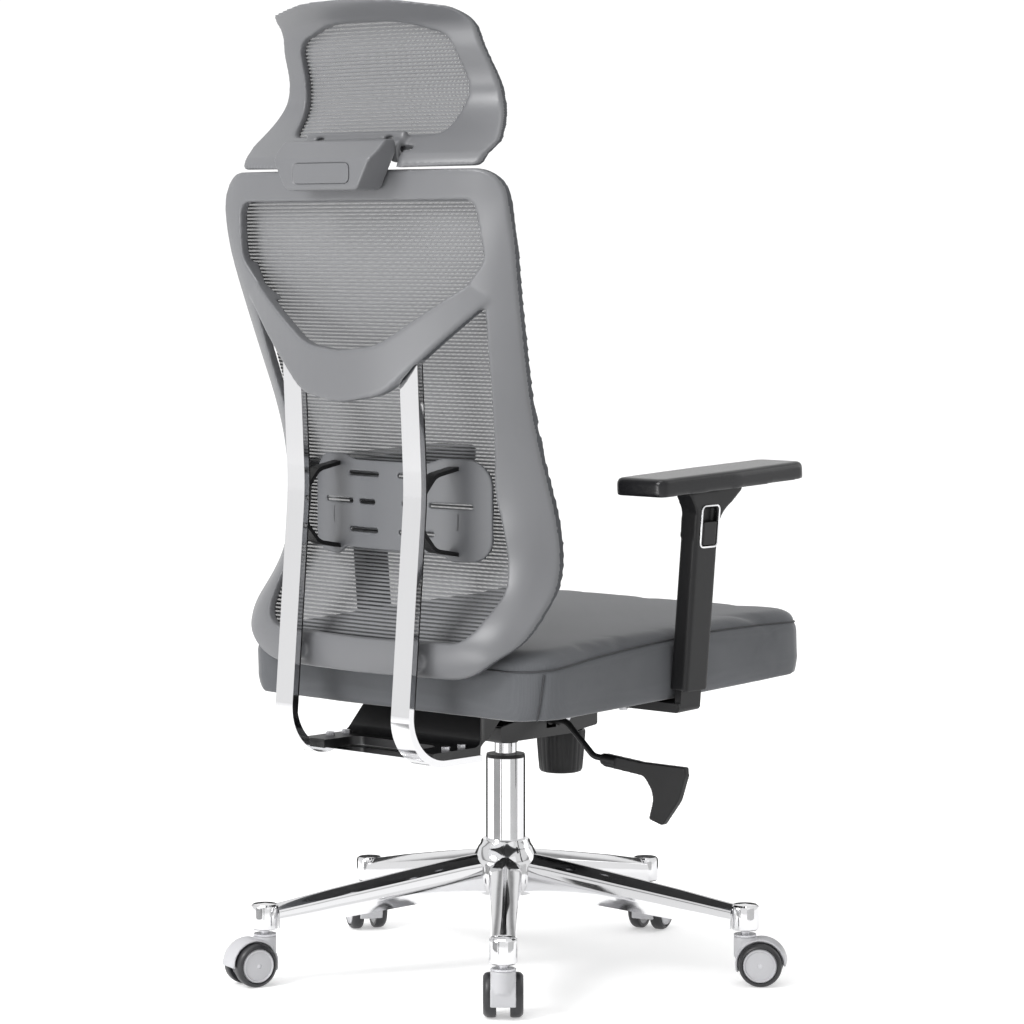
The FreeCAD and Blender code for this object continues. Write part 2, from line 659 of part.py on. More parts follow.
def arm_bracket(side):
    """Bolted foot under the seat board, and the post that the arm's sleeve slides on."""
    # one flat bar: the foot follows the seat's slope and bends up into the post
    along = D["arm_along"] - TILT.y
    half_depth, half_width = D["post_depth"] / 2, D["post_width"] / 2
    low, end = D["seat_lift"] - D["foot_thickness"], 271.5
    foot = prism_y(rounded([(side * 104, low, 0), (side * end, low, 10),
                            (side * end, D["seat_lift"], 0), (side * 104, D["seat_lift"], 0)]),
                   along - half_depth - 1, along + half_depth + 1)
    for hole in bolt_holes(ARM_BOLTS, D["screw_radius"], 20, 60):
        foot = foot.cut(hole)
    foot.Placement = SEAT_FRAME
    post = Part.makeBox(2 * half_width, 2 * half_depth, 192, Vector(-half_width, -half_depth, 356))
    post.Placement = arm_placement(side)
    return foot.fuse(post)


def arm_sleeve(side):
    """Hollow upright with a spreading head under the pad and a pocket for its button."""
    half_depth, half_width = D["sleeve_depth"] / 2, D["sleeve_width"] / 2
    top = SLEEVE_FOOT + D["sleeve_length"]
    body = prism_z(rounded([(-half_width, -half_depth, 5), (half_width, -half_depth, 5),
                            (half_width, half_depth, 5), (-half_width, half_depth, 5)]),
                   SLEEVE_FOOT, top)
    head = [(-62, top + 6, 0), (-62, top - 3, 3), (-half_depth, top - 34, 24), (-half_depth, top - 60, 0),
            (half_depth, top - 60, 0), (half_depth, top - 26, 18), (36, top - 6, 3), (36, top + 6, 0)]
    head = prism_x(rounded(head), -half_width, half_width)
    body = body.fuse(head)
    room = Part.makeBox(D["post_width"] + 0.6, D["post_depth"] + 0.6, 196,
                        Vector(-D["post_width"] / 2 - 0.3, -D["post_depth"] / 2 - 0.3, SLEEVE_FOOT))
    pocket = Part.makeBox(40, D["button_depth"] + 1, POCKET_HEIGHT,
                          Vector(4.6 if side > 0 else -44.6, -3.5 - D["button_depth"] / 2, BUTTON_FOOT))
    above = Part.makeBox(400, 400, 60, Vector(-200, -200, 0))
    above.Placement = arm_placement(side).inverse().multiply(pad_placement(side))
    return body.cut(room).cut(pocket).cut(above)


def arm_button(side):
    depth, height = D["button_depth"], D["button_height"]
    low = 5.2 if side > 0 else -14.2
    block = prism_z(rounded([(low, -3 - depth / 2, 3), (low + 9, -3 - depth / 2, 3),
                             (low + 9, -3 + depth / 2, 3), (low, -3 + depth / 2, 3)]),
                    BUTTON_FOOT + 0.3, BUTTON_FOOT + 0.3 + height)
    return block


def arm_pad(side):
    """Soft pad on the sleeve's head, sloping up to the front with the seat."""
    length, width, thick = D["pad_length"], D["pad_width"], D["pad_thickness"]
    plan = rounded([(-width / 2 + 5, -length / 2, 14), (width / 2 - 5, -length / 2, 14),
                    (width / 2, 0, 300), (width / 2 - 4, length / 2, 10),
                    (-width / 2 + 4, length / 2, 10), (-width / 2, 0, 300)])
    slab = prism_z(plan, 0, thick)
    edges = [edge for edge in slab.Edges if edge.BoundBox.ZMin > thick - 1]
    slab = slab.makeFillet(7, edges)
    return slab


for name, side in (("left", 1), ("right", -1)):
    node(solid(arm_bracket(side), "arm_bracket_%s_form" % name), "arm_bracket_" + name)
    node(solid(arm_sleeve(side), "sleeve_%s_form" % name, arm_placement(side)), "arm_sleeve_" + name)
    node(solid(arm_button(side), "button_%s_form" % name, arm_placement(side)), "arm_button_" + name)
    node(solid(arm_pad(side), "pad_%s_form" % name, pad_placement(side)), "arm_pad_" + name)


# ---------------------------------------------------------------- bolts

def bolt(at, down, length):
    """Hexagon-headed bolt: the head sits at 'at' and the shank runs the way 'down'."""
    head = Part.makePolygon([Vector(5.6 * math.cos(turn), 5.6 * math.sin(turn), 0)
                             for turn in [math.radians(60 * k) for k in range(7)]])
    head = Part.Face(head).extrude(Vector(0, 0, 4))
    shank = Part.makeCylinder(D["screw_radius"] - 0.05, length, ORIGIN, Vector(0, 0, -1))
    shape = head.fuse(shank)
    shape.Placement = Placement(at, Rotation(Z_AXIS, down * -1))
    return shape


def frame_bolts():
    """All the hexagon bolts that hold the plate, the arms and the bars."""
    down = SEAT_FRAME.Rotation.multVec(Vector(0, 0, 1))
    plate_low = D["seat_lift"] - D["plate_thickness"]
    arm_low = D["seat_lift"] - D["foot_thickness"]
    bolts = [bolt(SEAT_FRAME.multVec(Vector(x, y, plate_low)), down, 12) for x, y in PLATE_BOLTS]
    bolts += [bolt(SEAT_FRAME.multVec(Vector(x, y, arm_low)), down, 20) for x, y in ARM_BOLTS]
    bolts += [bolt(SEAT_FRAME.multVec(Vector(x, y, BRACKET_FLOOR)), down, 22) for x, y in BRACKET_BOLTS]
    for side in (-1, 1):
        for y in BAR_BOLTS:
            bolts.append(bolt(Vector(side * SPREAD, y, 312), Vector(0, 0, -1), 17.5))
    return Part.makeCompound(bolts)


node(solid(frame_bolts(), "bolt_set"), "frame_bolts")


# ---------------------------------------------------------------- back frame, mesh and lumbar plate

# Rear face of the shell at its outer edge and at its inner edge, and how far out each lies, by height.
EDGE_Y = [(395, 242), (430, 240), (460, 224), (500, 187), (550, 165), (600, 165), (680, 179),
          (750, 202), (850, 232), (930, 250), (970, 257), (1015, 268)]
EDGE_X = [(395, 200), (430, 222), (460, 237), (500, 239), (550, 233), (600, 226), (680, 213),
          (750, 220), (850, 234), (930, 241), (1015, 236)]
INNER_Y = [(395, 254), (430, 258), (460, 250), (500, 219), (550, 194), (600, 194), (680, 206),
           (750, 227), (850, 253), (930, 267), (970, 271), (1015, 274)]
INNER_X = [(395, 150), (430, 168), (460, 186), (500, 192), (550, 176), (600, 162), (680, 167),
           (750, 179), (850, 193), (930, 204), (1015, 190)]


def shell_depth(x, z):
    """Rear face of the back shell: edges wrapped forward, a shallow bow across the middle."""
    outer, inner = between(z, EDGE_X), between(z, INNER_X)
    edge, middle = between(z, EDGE_Y), between(z, INNER_Y)
    reach = abs(x)
    if reach >= inner:
        return middle + (edge - middle) * (reach - inner) / (outer - inner)
    return middle + 9 * (1 - (reach / inner) ** 2)


def mesh_depth(x, z):
    """Rear face of the mesh: taut between the shell's front edges, bowed back a little."""
    edge = between(z, EDGE_Y) - D["frame_thickness"] - 3
    return edge + 12 * (1 - min(1, abs(x) / between(z, EDGE_X)) ** 2)


def vee_depth(x, z):
    return 297 - 45 * (x / 200) ** 2


ACROSS = [-262, -215, -170, -120, -60, 0, 60, 120, 170, 215, 262]
HEIGHTS = [380, 410, 440, 470, 500, 540, 590, 640, 700, 770, 850, 930, 980, 1030]
BACK_OUTLINE = [(236, 1010, 48), (243, 930, 300), (212, 700, 420), (240, 500, 150), (236, 452, 60),
                (170, 404, 90), (0, 402, 900)]
UPPER_WINDOW = [(198, 973, 16), (206, 905, 22), (176, 872, 60), (60, 801, 90), (0, 795, 90)]
LOWER_WINDOW = [(196, 853, 6), (182, 750, 200), (160, 620, 110), (193, 505, 60), (170, 448, 40),
                (0, 445, 600)]
VEE_OUTLINE = [(204, 902, 0), (176, 872, 60), (60, 801, 90), (0, 795, 90), (-60, 801, 90),
               (-176, 872, 60), (-204, 902, 0), (-204, 856, 0), (-150, 810, 60), (-70, 742, 70),
               (0, 731, 120), (70, 742, 70), (150, 810, 60), (204, 856, 0)]


def mirrored(half):
    """A whole outline from its right half, listed from the top down."""
    left = [(-x, z, r) for x, z, r in half[::-1] if x > 0]
    return rounded(half + left)


def back_frame():
    """One moulding: a ring with its edges wrapped forward, and a vee that holds the bars' tops."""
    shell = bent_sheet(shell_depth, ACROSS, HEIGHTS, D["frame_thickness"])
    ring = shell.common(prism_y(mirrored(BACK_OUTLINE), 100, 340))
    for window in (UPPER_WINDOW, LOWER_WINDOW):
        ring = ring.cut(prism_y(mirrored(window), 90, 350))
    vee = bent_sheet(vee_depth, ACROSS, [700, 780, 860, 960], D["vee_thickness"])
    vee = vee.common(prism_y(rounded(VEE_OUTLINE), 100, 340))
    bosses = [Part.makeCylinder(11, 30, Vector(side * SPREAD, 256, 424), Y_AXIS) for side in (-1, 1)]
    frame = ring.fuse([vee] + bosses)
    for side in (-1, 1):
        low = side * SPREAD - D["bar_width"] / 2
        frame = frame.cut(prism_x(bar_outline(), low, low + D["bar_width"]))
    return frame.cut(Part.makeBox(52, 3.8, 60, Vector(-26, 274.3, 976)))


def back_mesh():
    sheet_solid = bent_sheet(mesh_depth, ACROSS, HEIGHTS, D["mesh_thickness"])
    edge = [(x - 7 if x else 0, z + (-8 if z > 900 else 9 if z < 460 else 0), r)
            for x, z, r in BACK_OUTLINE]
    return sheet_solid.common(prism_y(mirrored(edge), 90, 340))


node(solid(back_frame(), "shell_moulding"), "back_frame")
node(solid(back_mesh(), "mesh_panel"), "back_mesh")


def lumbar_depth(x, z):
    return 212 - 26 * (x / 150) ** 2


def lumbar_plate():
    """Slotted support plate with rounded ends that wrap forward."""
    plate = bent_sheet(lumbar_depth, [-170, -110, -55, 0, 55, 110, 170], [520, 560, 620, 700],
                       D["lumbar_thickness"])
    outline = [(150, 662, 34), (150, 540, 34), (96, 538, 20), (80, 548, 10), (0, 548, 0)]
    outline = [(62, 657, 12), (84, 664, 12)] + outline
    plate = plate.common(prism_y(mirrored([(0, 657, 0)] + outline), 100, 300))
    for side in (-1, 1):
        for x, z, length in ((45, 640, 58), (95, 606, 60), (38, 606, 30), (45, 571, 54)):
            slot = rounded([(side * x - length / 2, z - 3, 2.5), (side * x + length / 2, z - 3, 2.5),
                            (side * x + length / 2, z + 3, 2.5), (side * x - length / 2, z + 3, 2.5)])
            plate = plate.cut(prism_y(slot, 100, 300))
        shoe = Part.makeBox(15, 60, 20, Vector(side * SPREAD - 7.5, 202.5, 577))
        plate = plate.fuse(shoe)
    return plate


node(solid(lumbar_plate(), "lumbar_form"), "lumbar_plate")


# ---------------------------------------------------------------- headrest

HINGE = Vector(0, 268, 1034)
HEAD_EDGE_Y = [(1015, 262), (1030, 258), (1060, 226), (1085, 206), (1105, 202), (1130, 208),
               (1160, 220), (1190, 236), (1220, 254)]
HEAD_OUTLINE = [(0, 1213, 0), (70, 1211, 300), (158, 1199, 26), (172, 1130, 120), (183, 1092, 60),
                (208, 1042, 10), (200, 1018, 8), (0, 1016, 0)]
HEAD_WINDOW = [(0, 1187, 0), (60, 1186, 200), (126, 1168, 26), (139, 1105, 60), (128, 1052, 16),
               (0, 1049, 0)]


def head_depth(x, z):
    return between(z, HEAD_EDGE_Y) + 26 * (1 - (abs(x) / 190) ** 2)


def head_sheet(front, thickness):
    heights = [1005, 1030, 1050, 1075, 1100, 1130, 1160, 1190, 1225]
    across = [-220, -160, -100, -50, 0, 50, 100, 160, 220]
    return bent_sheet(lambda x, z: head_depth(x, z) - front, across, heights, thickness)


def headrest_frame():
    """Bowed ring with a round hinge bar along its foot, notched for the bracket's ears."""
    ring = head_sheet(0, D["headrest_thickness"])
    ring = ring.common(prism_y(mirrored(HEAD_OUTLINE), 150, 340))
    ring = ring.cut(prism_y(mirrored(HEAD_WINDOW), 150, 340))
    clear = Part.makeCylinder(34, 176, HINGE + Vector(-88, 0, 0), X_AXIS)
    clear = clear.common(Part.makeBox(200, 60, 60, HINGE + Vector(-100, 0, -60 + 14)))
    ring = ring.cut(clear)
    bar = Part.makeCylinder(D["headrest_bar_radius"], 168, HINGE + Vector(-84, 0, 0), X_AXIS)
    web = Part.makeBox(168, 8, 22, HINGE + Vector(-84, -8, 0))
    frame = ring.fuse([bar, web])
    for side in (-1, 1):
        low = 51 if side > 0 else -65
        frame = frame.cut(Part.makeBox(14, 60, 44, HINGE + Vector(low, -30, -30)))
    return frame.cut(Part.makeCylinder(D["headrest_pin_radius"] + GAP, 200,
                                       HINGE + Vector(-100, 0, 0), X_AXIS))


def headrest_mesh():
    panel = head_sheet(D["headrest_thickness"] + 0.4, 2.0)
    edge = [(0, 1207, 0), (70, 1205, 280), (152, 1193, 22), (166, 1130, 116), (177, 1092, 50),
            (198, 1048, 8), (0, 1045, 0)]
    return panel.common(prism_y(mirrored(edge), 150, 340))


def headrest_bracket():
    """Saddle behind the top rail: a blade in the rail's slot, two hinge ears and a cover's recess."""
    side_view = [(284.5, 1046, 5), (302, 1045, 8), (325, 1022, 8), (325, 985, 6), (284.5, 985, 3)]
    block = prism_x(rounded(side_view), -86, 86)
    taper = prism_y(rounded([(-86, 1048, 0), (86, 1048, 0), (86, 1030, 12), (60, 985, 12),
                             (-60, 985, 12), (-86, 1030, 12)]), 250, 340)
    block = block.common(taper)
    blade = Part.makeBox(50, 3, 52, Vector(-25, 274.7, 978))
    neck = Part.makeBox(50, 12, 6, Vector(-25, 274.7, 1013.4))
    ears = []
    for side in (-1, 1):
        low = 52 if side > 0 else -64
        ear = Part.makeCylinder(11, 12, HINGE + Vector(low, 0, 0), X_AXIS)
        link = Part.makeBox(12, 20, 14, HINGE + Vector(low, 0, -11))
        ears.append(ear.fuse(link))
    bracket = block.fuse([blade, neck] + ears)
    bracket = bracket.cut(Part.makeCylinder(D["headrest_bar_radius"] + 0.6, 101,
                                            HINGE + Vector(-50.5, 0, 0), X_AXIS))
    recess = prism_y(rounded([(-48, 993, 8), (48, 993, 8), (48, 1018, 8), (-48, 1018, 8)]), 322, 340)
    bracket = bracket.cut(recess)
    return bracket.cut(Part.makeCylinder(D["headrest_pin_radius"], 200,
                                         HINGE + Vector(-100, 0, 0), X_AXIS))


def bracket_cover():
    return prism_y(rounded([(-47.5, 993.5, 7.5), (47.5, 993.5, 7.5), (47.5, 1017.5, 7.5),
                            (-47.5, 1017.5, 7.5)]), 322, 325.6)


node(solid(headrest_bracket(), "saddle_moulding"), "headrest_bracket")
node(solid(bracket_cover(), "cover_moulding"), "bracket_cover")
node(cylinder("dims.headrest_pin_radius", 150, (-75, HINGE.y, HINGE.z), X_AXIS), "headrest_pin")
node(solid(headrest_frame(), "headrest_moulding"), "headrest_frame")
node(solid(headrest_mesh(), "headrest_panel"), "headrest_mesh")


# ---------------------------------------------------------------- checks and files

doc.recompute()
faults = []
for obj in doc.Objects:
    if "Invalid" in obj.State or "Error" in obj.State:
        faults.append("%s is %s" % (obj.Label, obj.State))
for obj in nodes:
    if obj.Shape.isNull() or not obj.Shape.isValid() or not obj.Shape.Solids:
        faults.append("%s has no valid solid" % obj.Label)
if faults:
    raise RuntimeError("; ".join(faults))
os.makedirs("parts", exist_ok=True)
for obj in nodes:
    obj.Shape.exportStep(os.path.join("parts", obj.Label + ".step"))
print(len(nodes), "nodes")
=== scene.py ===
import json
import math

import bmesh
import bpy
from mathutils import Matrix, Vector
from mathutils.kdtree import KDTree

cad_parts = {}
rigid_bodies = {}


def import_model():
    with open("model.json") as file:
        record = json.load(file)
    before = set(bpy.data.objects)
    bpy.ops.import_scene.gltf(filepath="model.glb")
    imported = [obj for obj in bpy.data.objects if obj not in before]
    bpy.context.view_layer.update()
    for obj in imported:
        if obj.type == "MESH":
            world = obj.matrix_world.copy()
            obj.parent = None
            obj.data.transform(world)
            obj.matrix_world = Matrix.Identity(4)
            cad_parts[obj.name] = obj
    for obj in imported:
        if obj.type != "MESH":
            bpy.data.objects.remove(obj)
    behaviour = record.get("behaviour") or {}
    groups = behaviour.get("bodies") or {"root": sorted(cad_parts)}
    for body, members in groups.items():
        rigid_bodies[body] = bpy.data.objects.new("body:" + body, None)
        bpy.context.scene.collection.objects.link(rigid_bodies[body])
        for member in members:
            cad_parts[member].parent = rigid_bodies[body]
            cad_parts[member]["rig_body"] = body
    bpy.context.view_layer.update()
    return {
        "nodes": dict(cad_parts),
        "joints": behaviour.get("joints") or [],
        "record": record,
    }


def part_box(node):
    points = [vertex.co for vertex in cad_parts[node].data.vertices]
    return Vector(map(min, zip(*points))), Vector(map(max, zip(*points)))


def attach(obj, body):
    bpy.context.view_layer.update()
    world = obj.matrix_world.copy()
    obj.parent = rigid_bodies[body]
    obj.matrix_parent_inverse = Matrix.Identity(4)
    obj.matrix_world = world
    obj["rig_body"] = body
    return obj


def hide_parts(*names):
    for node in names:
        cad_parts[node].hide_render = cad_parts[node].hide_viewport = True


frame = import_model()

# Metres, in the model's own frame: +Z up, the sitter faces -Y, the chair's right arm is at -X.
NODES = frame["nodes"]
SCENE = bpy.context.scene


# ---------------------------------------------------------------- camera, floor and light

def aim(obj, place, forward):
    """Put a camera or light at a place, looking along forward, with its top up."""
    forward = Vector(forward).normalized()
    right = forward.cross(Vector((0, 0, 1))).normalized()
    up = right.cross(forward)
    turn = Matrix((right, up, -forward)).transposed()
    obj.matrix_world = Matrix.Translation(Vector(place)) @ turn.to_4x4()


CAMERA_DISTANCE, CAMERA_HEIGHT = 4.598, 0.9257
TOWARD_CAMERA = Vector((-0.679, 0.735, 0))
IMAGE_RIGHT = Vector((-0.735, -0.679, 0))
PITCH, YAW = math.radians(4.256), math.radians(0.101)

camera_data = bpy.data.cameras.new("camera")
camera_data.lens, camera_data.sensor_width = 128.3, 36
camera = bpy.data.objects.new("camera", camera_data)
SCENE.collection.objects.link(camera)
level = -TOWARD_CAMERA * math.cos(YAW) + IMAGE_RIGHT * math.sin(YAW)
aim(camera, TOWARD_CAMERA * CAMERA_DISTANCE + Vector((0, 0, CAMERA_HEIGHT)),
    level * math.cos(PITCH) - Vector((0, 0, math.sin(PITCH))))
SCENE.camera = camera
SCENE.view_settings.view_transform = "Standard"


def area_light(name, place, target, size, power):
    data = bpy.data.lights.new(name, "AREA")
    data.shape, data.size, data.size_y, data.energy = "RECTANGLE", size[0], size[1], power
    lamp = bpy.data.objects.new(name, data)
    SCENE.collection.objects.link(lamp)
    aim(lamp, place, Vector(target) - Vector(place))


# The key comes from the image's left and above, so faces turned to the right fall darker.
area_light("key", (0.5, 3.1, 2.9), (0, 0.1, 0.8), (1.5, 1.5), 95)
area_light("fill", (-3.4, 1.2, 1.6), (0, 0, 0.5), (1.6, 2.4), 3)
area_light("top", (0.2, 0.5, 3.6), (0, 0, 0.6), (2.0, 2.0), 24)
area_light("low", (0.6, 3.0, 0.35), (0, 0.2, 1.1), (1.2, 0.8), 26)
area_light("front", (-1.6, -3.2, 1.8), (0, 0, 0.6), (1.6, 2.0), 12)


def card(name, grey, around, distance, width, height):
    """A card standing out of shot, seen only in the chrome; around is degrees from the camera's bearing."""
    bearing = math.atan2(TOWARD_CAMERA.y, TOWARD_CAMERA.x) + math.radians(around)
    out = Vector((math.cos(bearing), math.sin(bearing), 0))
    along = Vector((-out.y, out.x, 0)) * width / 2
    foot, head = out * distance, out * distance + Vector((0, 0, height))
    mesh = bpy.data.meshes.new(name)
    mesh.from_pydata([foot - along, foot + along, head + along, head - along], [], [(0, 1, 2, 3)])
    paint = bpy.data.materials.new(name)
    paint.use_nodes = True
    paint.node_tree.nodes["Principled BSDF"].inputs["Base Color"].default_value = (grey, grey, grey, 1)
    paint.node_tree.nodes["Principled BSDF"].inputs["Roughness"].default_value = 0.9
    mesh.materials.append(paint)
    obj = bpy.data.objects.new(name, mesh)
    SCENE.collection.objects.link(obj)
    obj.visible_camera = obj.visible_diffuse = obj.visible_shadow = False


# The far cards darken the column's edges, the near one draws its dark line, the grey ones tone its sides.
card("card_far_left", 0.03, -152, 0.9, 0.72, 0.30)
card("card_far_right", 0.03, 152, 0.9, 0.72, 0.30)
card("card_near", 0.03, -23, 0.9, 0.06, 0.30)
card("card_grey_left", 0.36, -52, 0.95, 0.72, 0.20)
card("card_grey_right", 0.50, 50, 0.95, 0.8, 0.20)

world = bpy.data.worlds.new("studio")
world.use_nodes = True
SCENE.world = world
tree = world.node_tree
sky = tree.nodes["Background"]
where = tree.nodes.new("ShaderNodeTexCoord")
split = tree.nodes.new("ShaderNodeSeparateXYZ")
ramp = tree.nodes.new("ShaderNodeValToRGB")
tree.links.new(where.outputs["Generated"], split.inputs[0])
tree.links.new(split.outputs["Z"], ramp.inputs[0])
tree.links.new(ramp.outputs[0], sky.inputs["Color"])
STUDIO = [(0.0, 0.54), (0.33, 0.52), (0.36, 0.16), (0.385, 0.16), (0.42, 0.46), (1.0, 0.54)]
while len(ramp.color_ramp.elements) < len(STUDIO):
    ramp.color_ramp.elements.new(0.5)
for stop, (at, grey) in zip(ramp.color_ramp.elements, STUDIO):
    stop.position, stop.color = at, (grey, grey, grey, 1)
sky.inputs["Strength"].default_value = 2.0


# ---------------------------------------------------------------- materials

def material(name, color, roughness, metallic=0.0, **sockets):
    """A Principled material; further sockets are given by name."""
    result = bpy.data.materials.new(name)
    result.use_nodes = True
    shader = result.node_tree.nodes["Principled BSDF"]
    shader.inputs["Base Color"].default_value = (*color, 1)
    shader.inputs["Roughness"].default_value = roughness
    shader.inputs["Metallic"].default_value = metallic
    for socket, value in sockets.items():
        shader.inputs[socket.replace("_", " ")].default_value = value
    return result


def nodes_of(result):
    made = result.node_tree
    return made, made.nodes["Principled BSDF"]


def add(made, kind, **values):
    item = made.nodes.new(kind)
    for key, value in values.items():
        if key in item.inputs:
            item.inputs[key].default_value = value
        else:
            setattr(item, key, value)
    return item


def ramp_of(made, source, stops):
    """A colour ramp on a socket; stops are (place, grey or colour)."""
    item = made.nodes.new("ShaderNodeValToRGB")
    while len(item.color_ramp.elements) < len(stops):
        item.color_ramp.elements.new(0.5)
    for stop, (at, value) in zip(item.color_ramp.elements, stops):
        stop.position = at
        stop.color = (*value, 1) if isinstance(value, tuple) else (value, value, value, 1)
    made.links.new(source, item.inputs[0])
    return item.outputs[0]


def grained(result, color, spread, scale, fine_scale, bump, depth, rough):
    """Cloudy colour and roughness, and a fine moulded or woven grain as bump."""
    made, shader = nodes_of(result)
    here = add(made, "ShaderNodeTexCoord")
    cloud = add(made, "ShaderNodeTexNoise", Scale=scale, Detail=4.0)
    grain = add(made, "ShaderNodeTexNoise", Scale=fine_scale, Detail=3.0)
    for item in (cloud, grain):
        made.links.new(here.outputs["Object"], item.inputs["Vector"])
    low = tuple(value * (1 - spread) for value in color)
    high = tuple(value * (1 + spread) for value in color)
    made.links.new(ramp_of(made, cloud.outputs[0], [(0.3, low), (0.7, high)]), shader.inputs["Base Color"])
    made.links.new(ramp_of(made, grain.outputs[0], [(0.3, rough[0]), (0.7, rough[1])]),
                   shader.inputs["Roughness"])
    relief = add(made, "ShaderNodeBump", Strength=bump, Distance=depth)
    made.links.new(grain.outputs[0], relief.inputs["Height"])
    made.links.new(relief.outputs[0], shader.inputs["Normal"])
    return result


GREY = (0.112, 0.114, 0.120)
grey_plastic = grained(material("grey_plastic", GREY, 0.36), GREY, 0.03, 9, 1500, 0.08, 0.0002, (0.32, 0.42))
DARK_GREY = (0.098, 0.101, 0.108)
dark_plastic = grained(material("dark_grey_plastic", DARK_GREY, 0.45), DARK_GREY, 0.04, 12, 1300, 0.12,
                       0.0002, (0.38, 0.50))
BLACK = (0.0060, 0.0060, 0.0066)
black_plastic = grained(material("black_plastic", BLACK, 0.42, Specular_IOR_Level=0.3), BLACK, 0.12, 14, 1400,
                        0.25, 0.0002, (0.34, 0.48))
black_metal = grained(material("black_metal", BLACK, 0.35), BLACK, 0.15, 18, 900, 0.15, 0.0002, (0.28, 0.42))
CASTOR = (0.40, 0.40, 0.415)
castor_grey = grained(material("castor_grey", CASTOR, 0.4), CASTOR, 0.03, 20, 1600, 0.08, 0.0001,
                      (0.30, 0.40))
TREAD = (0.014, 0.014, 0.016)
tread = grained(material("castor_tread", TREAD, 0.4), TREAD, 0.2, 40, 1200, 0.2, 0.0002, (0.30, 0.46))
WRAP = (0.048, 0.050, 0.055)
edge_wrap = grained(material("edge_wrap", WRAP, 0.85), WRAP, 0.15, 40, 1100, 0.4, 0.0004, (0.75, 0.95))
PAD = (0.005, 0.005, 0.006)
pad_skin = grained(material("pad_skin", PAD, 0.4, Specular_IOR_Level=0.35), PAD, 0.10, 10, 2200, 0.18, 0.0002,
                   (0.22, 0.32))
CHROME = (0.69, 0.69, 0.70)
chrome = grained(material("chrome", CHROME, 0.07, 1.0), CHROME, 0.012, 6, 60, 0.012, 0.0004, (0.045, 0.085))
STEEL = (0.52, 0.52, 0.54)
steel = grained(material("steel", STEEL, 0.3, 1.0), STEEL, 0.05, 30, 700, 0.05, 0.0002, (0.24, 0.38))
LINING = (0.022, 0.022, 0.023)
lined_board = grained(material("lined_board", LINING, 0.8), LINING, 0.18, 25, 900, 0.2, 0.0004, (0.7, 0.9))

SEAT = (0.070, 0.073, 0.079)
seat_fabric = material("seat_fabric", SEAT, 0.85, Sheen_Weight=0.30, Sheen_Roughness=0.35)


def weave(result, color, pitch, bump, depth, rough):
    """Plain close weave: crossed threads a pitch apart, with loose fibre between them."""
    made, shader = nodes_of(result)
    here = add(made, "ShaderNodeTexCoord")
    cloud = add(made, "ShaderNodeTexNoise", Scale=7.0, Detail=5.0)
    made.links.new(here.outputs["Object"], cloud.inputs["Vector"])
    low = tuple(value * 0.90 for value in color)
    high = tuple(value * 1.12 for value in color)
    threads = []
    for way in ("X", "Y"):
        wave = add(made, "ShaderNodeTexWave", bands_direction=way, Scale=1 / pitch / 6.2832, Distortion=0.6,
                   Detail=1.0)
        made.links.new(here.outputs["Object"], wave.inputs["Vector"])
        threads.append(wave)
    first = add(made, "ShaderNodeMath", operation="MULTIPLY")
    made.links.new(threads[0].outputs["Fac"], first.inputs[0])
    made.links.new(threads[1].outputs["Fac"], first.inputs[1])
    fluff = add(made, "ShaderNodeTexNoise", Scale=1 / pitch, Detail=2.0)
    made.links.new(here.outputs["Object"], fluff.inputs["Vector"])
    second = add(made, "ShaderNodeMath", operation="ADD")
    made.links.new(first.outputs[0], second.inputs[0])
    made.links.new(fluff.outputs[0], second.inputs[1])
    relief = add(made, "ShaderNodeBump", Strength=bump, Distance=depth)
    made.links.new(second.outputs[0], relief.inputs["Height"])
    made.links.new(relief.outputs[0], shader.inputs["Normal"])
    made.links.new(ramp_of(made, cloud.outputs[0], [(0.3, low), (0.7, high)]), shader.inputs["Base Color"])
    made.links.new(ramp_of(made, second.outputs[0], [(0.0, rough[0]), (1.0, rough[1])]),
                   shader.inputs["Roughness"])
    return result


weave(seat_fabric, SEAT, 0.0011, 0.35, 0.0003, (0.72, 0.92))
THREAD = (0.030, 0.031, 0.034)
seam_thread = grained(material("seam_thread", THREAD, 0.8), THREAD, 0.2, 60, 1500, 0.3, 0.0002, (0.7, 0.9))

RIB_PITCH = 0.0044
MESH_GREY = (0.155, 0.158, 0.165)
MESH_PAINTED_SHADE = (0.012, 0.013, 0.015)


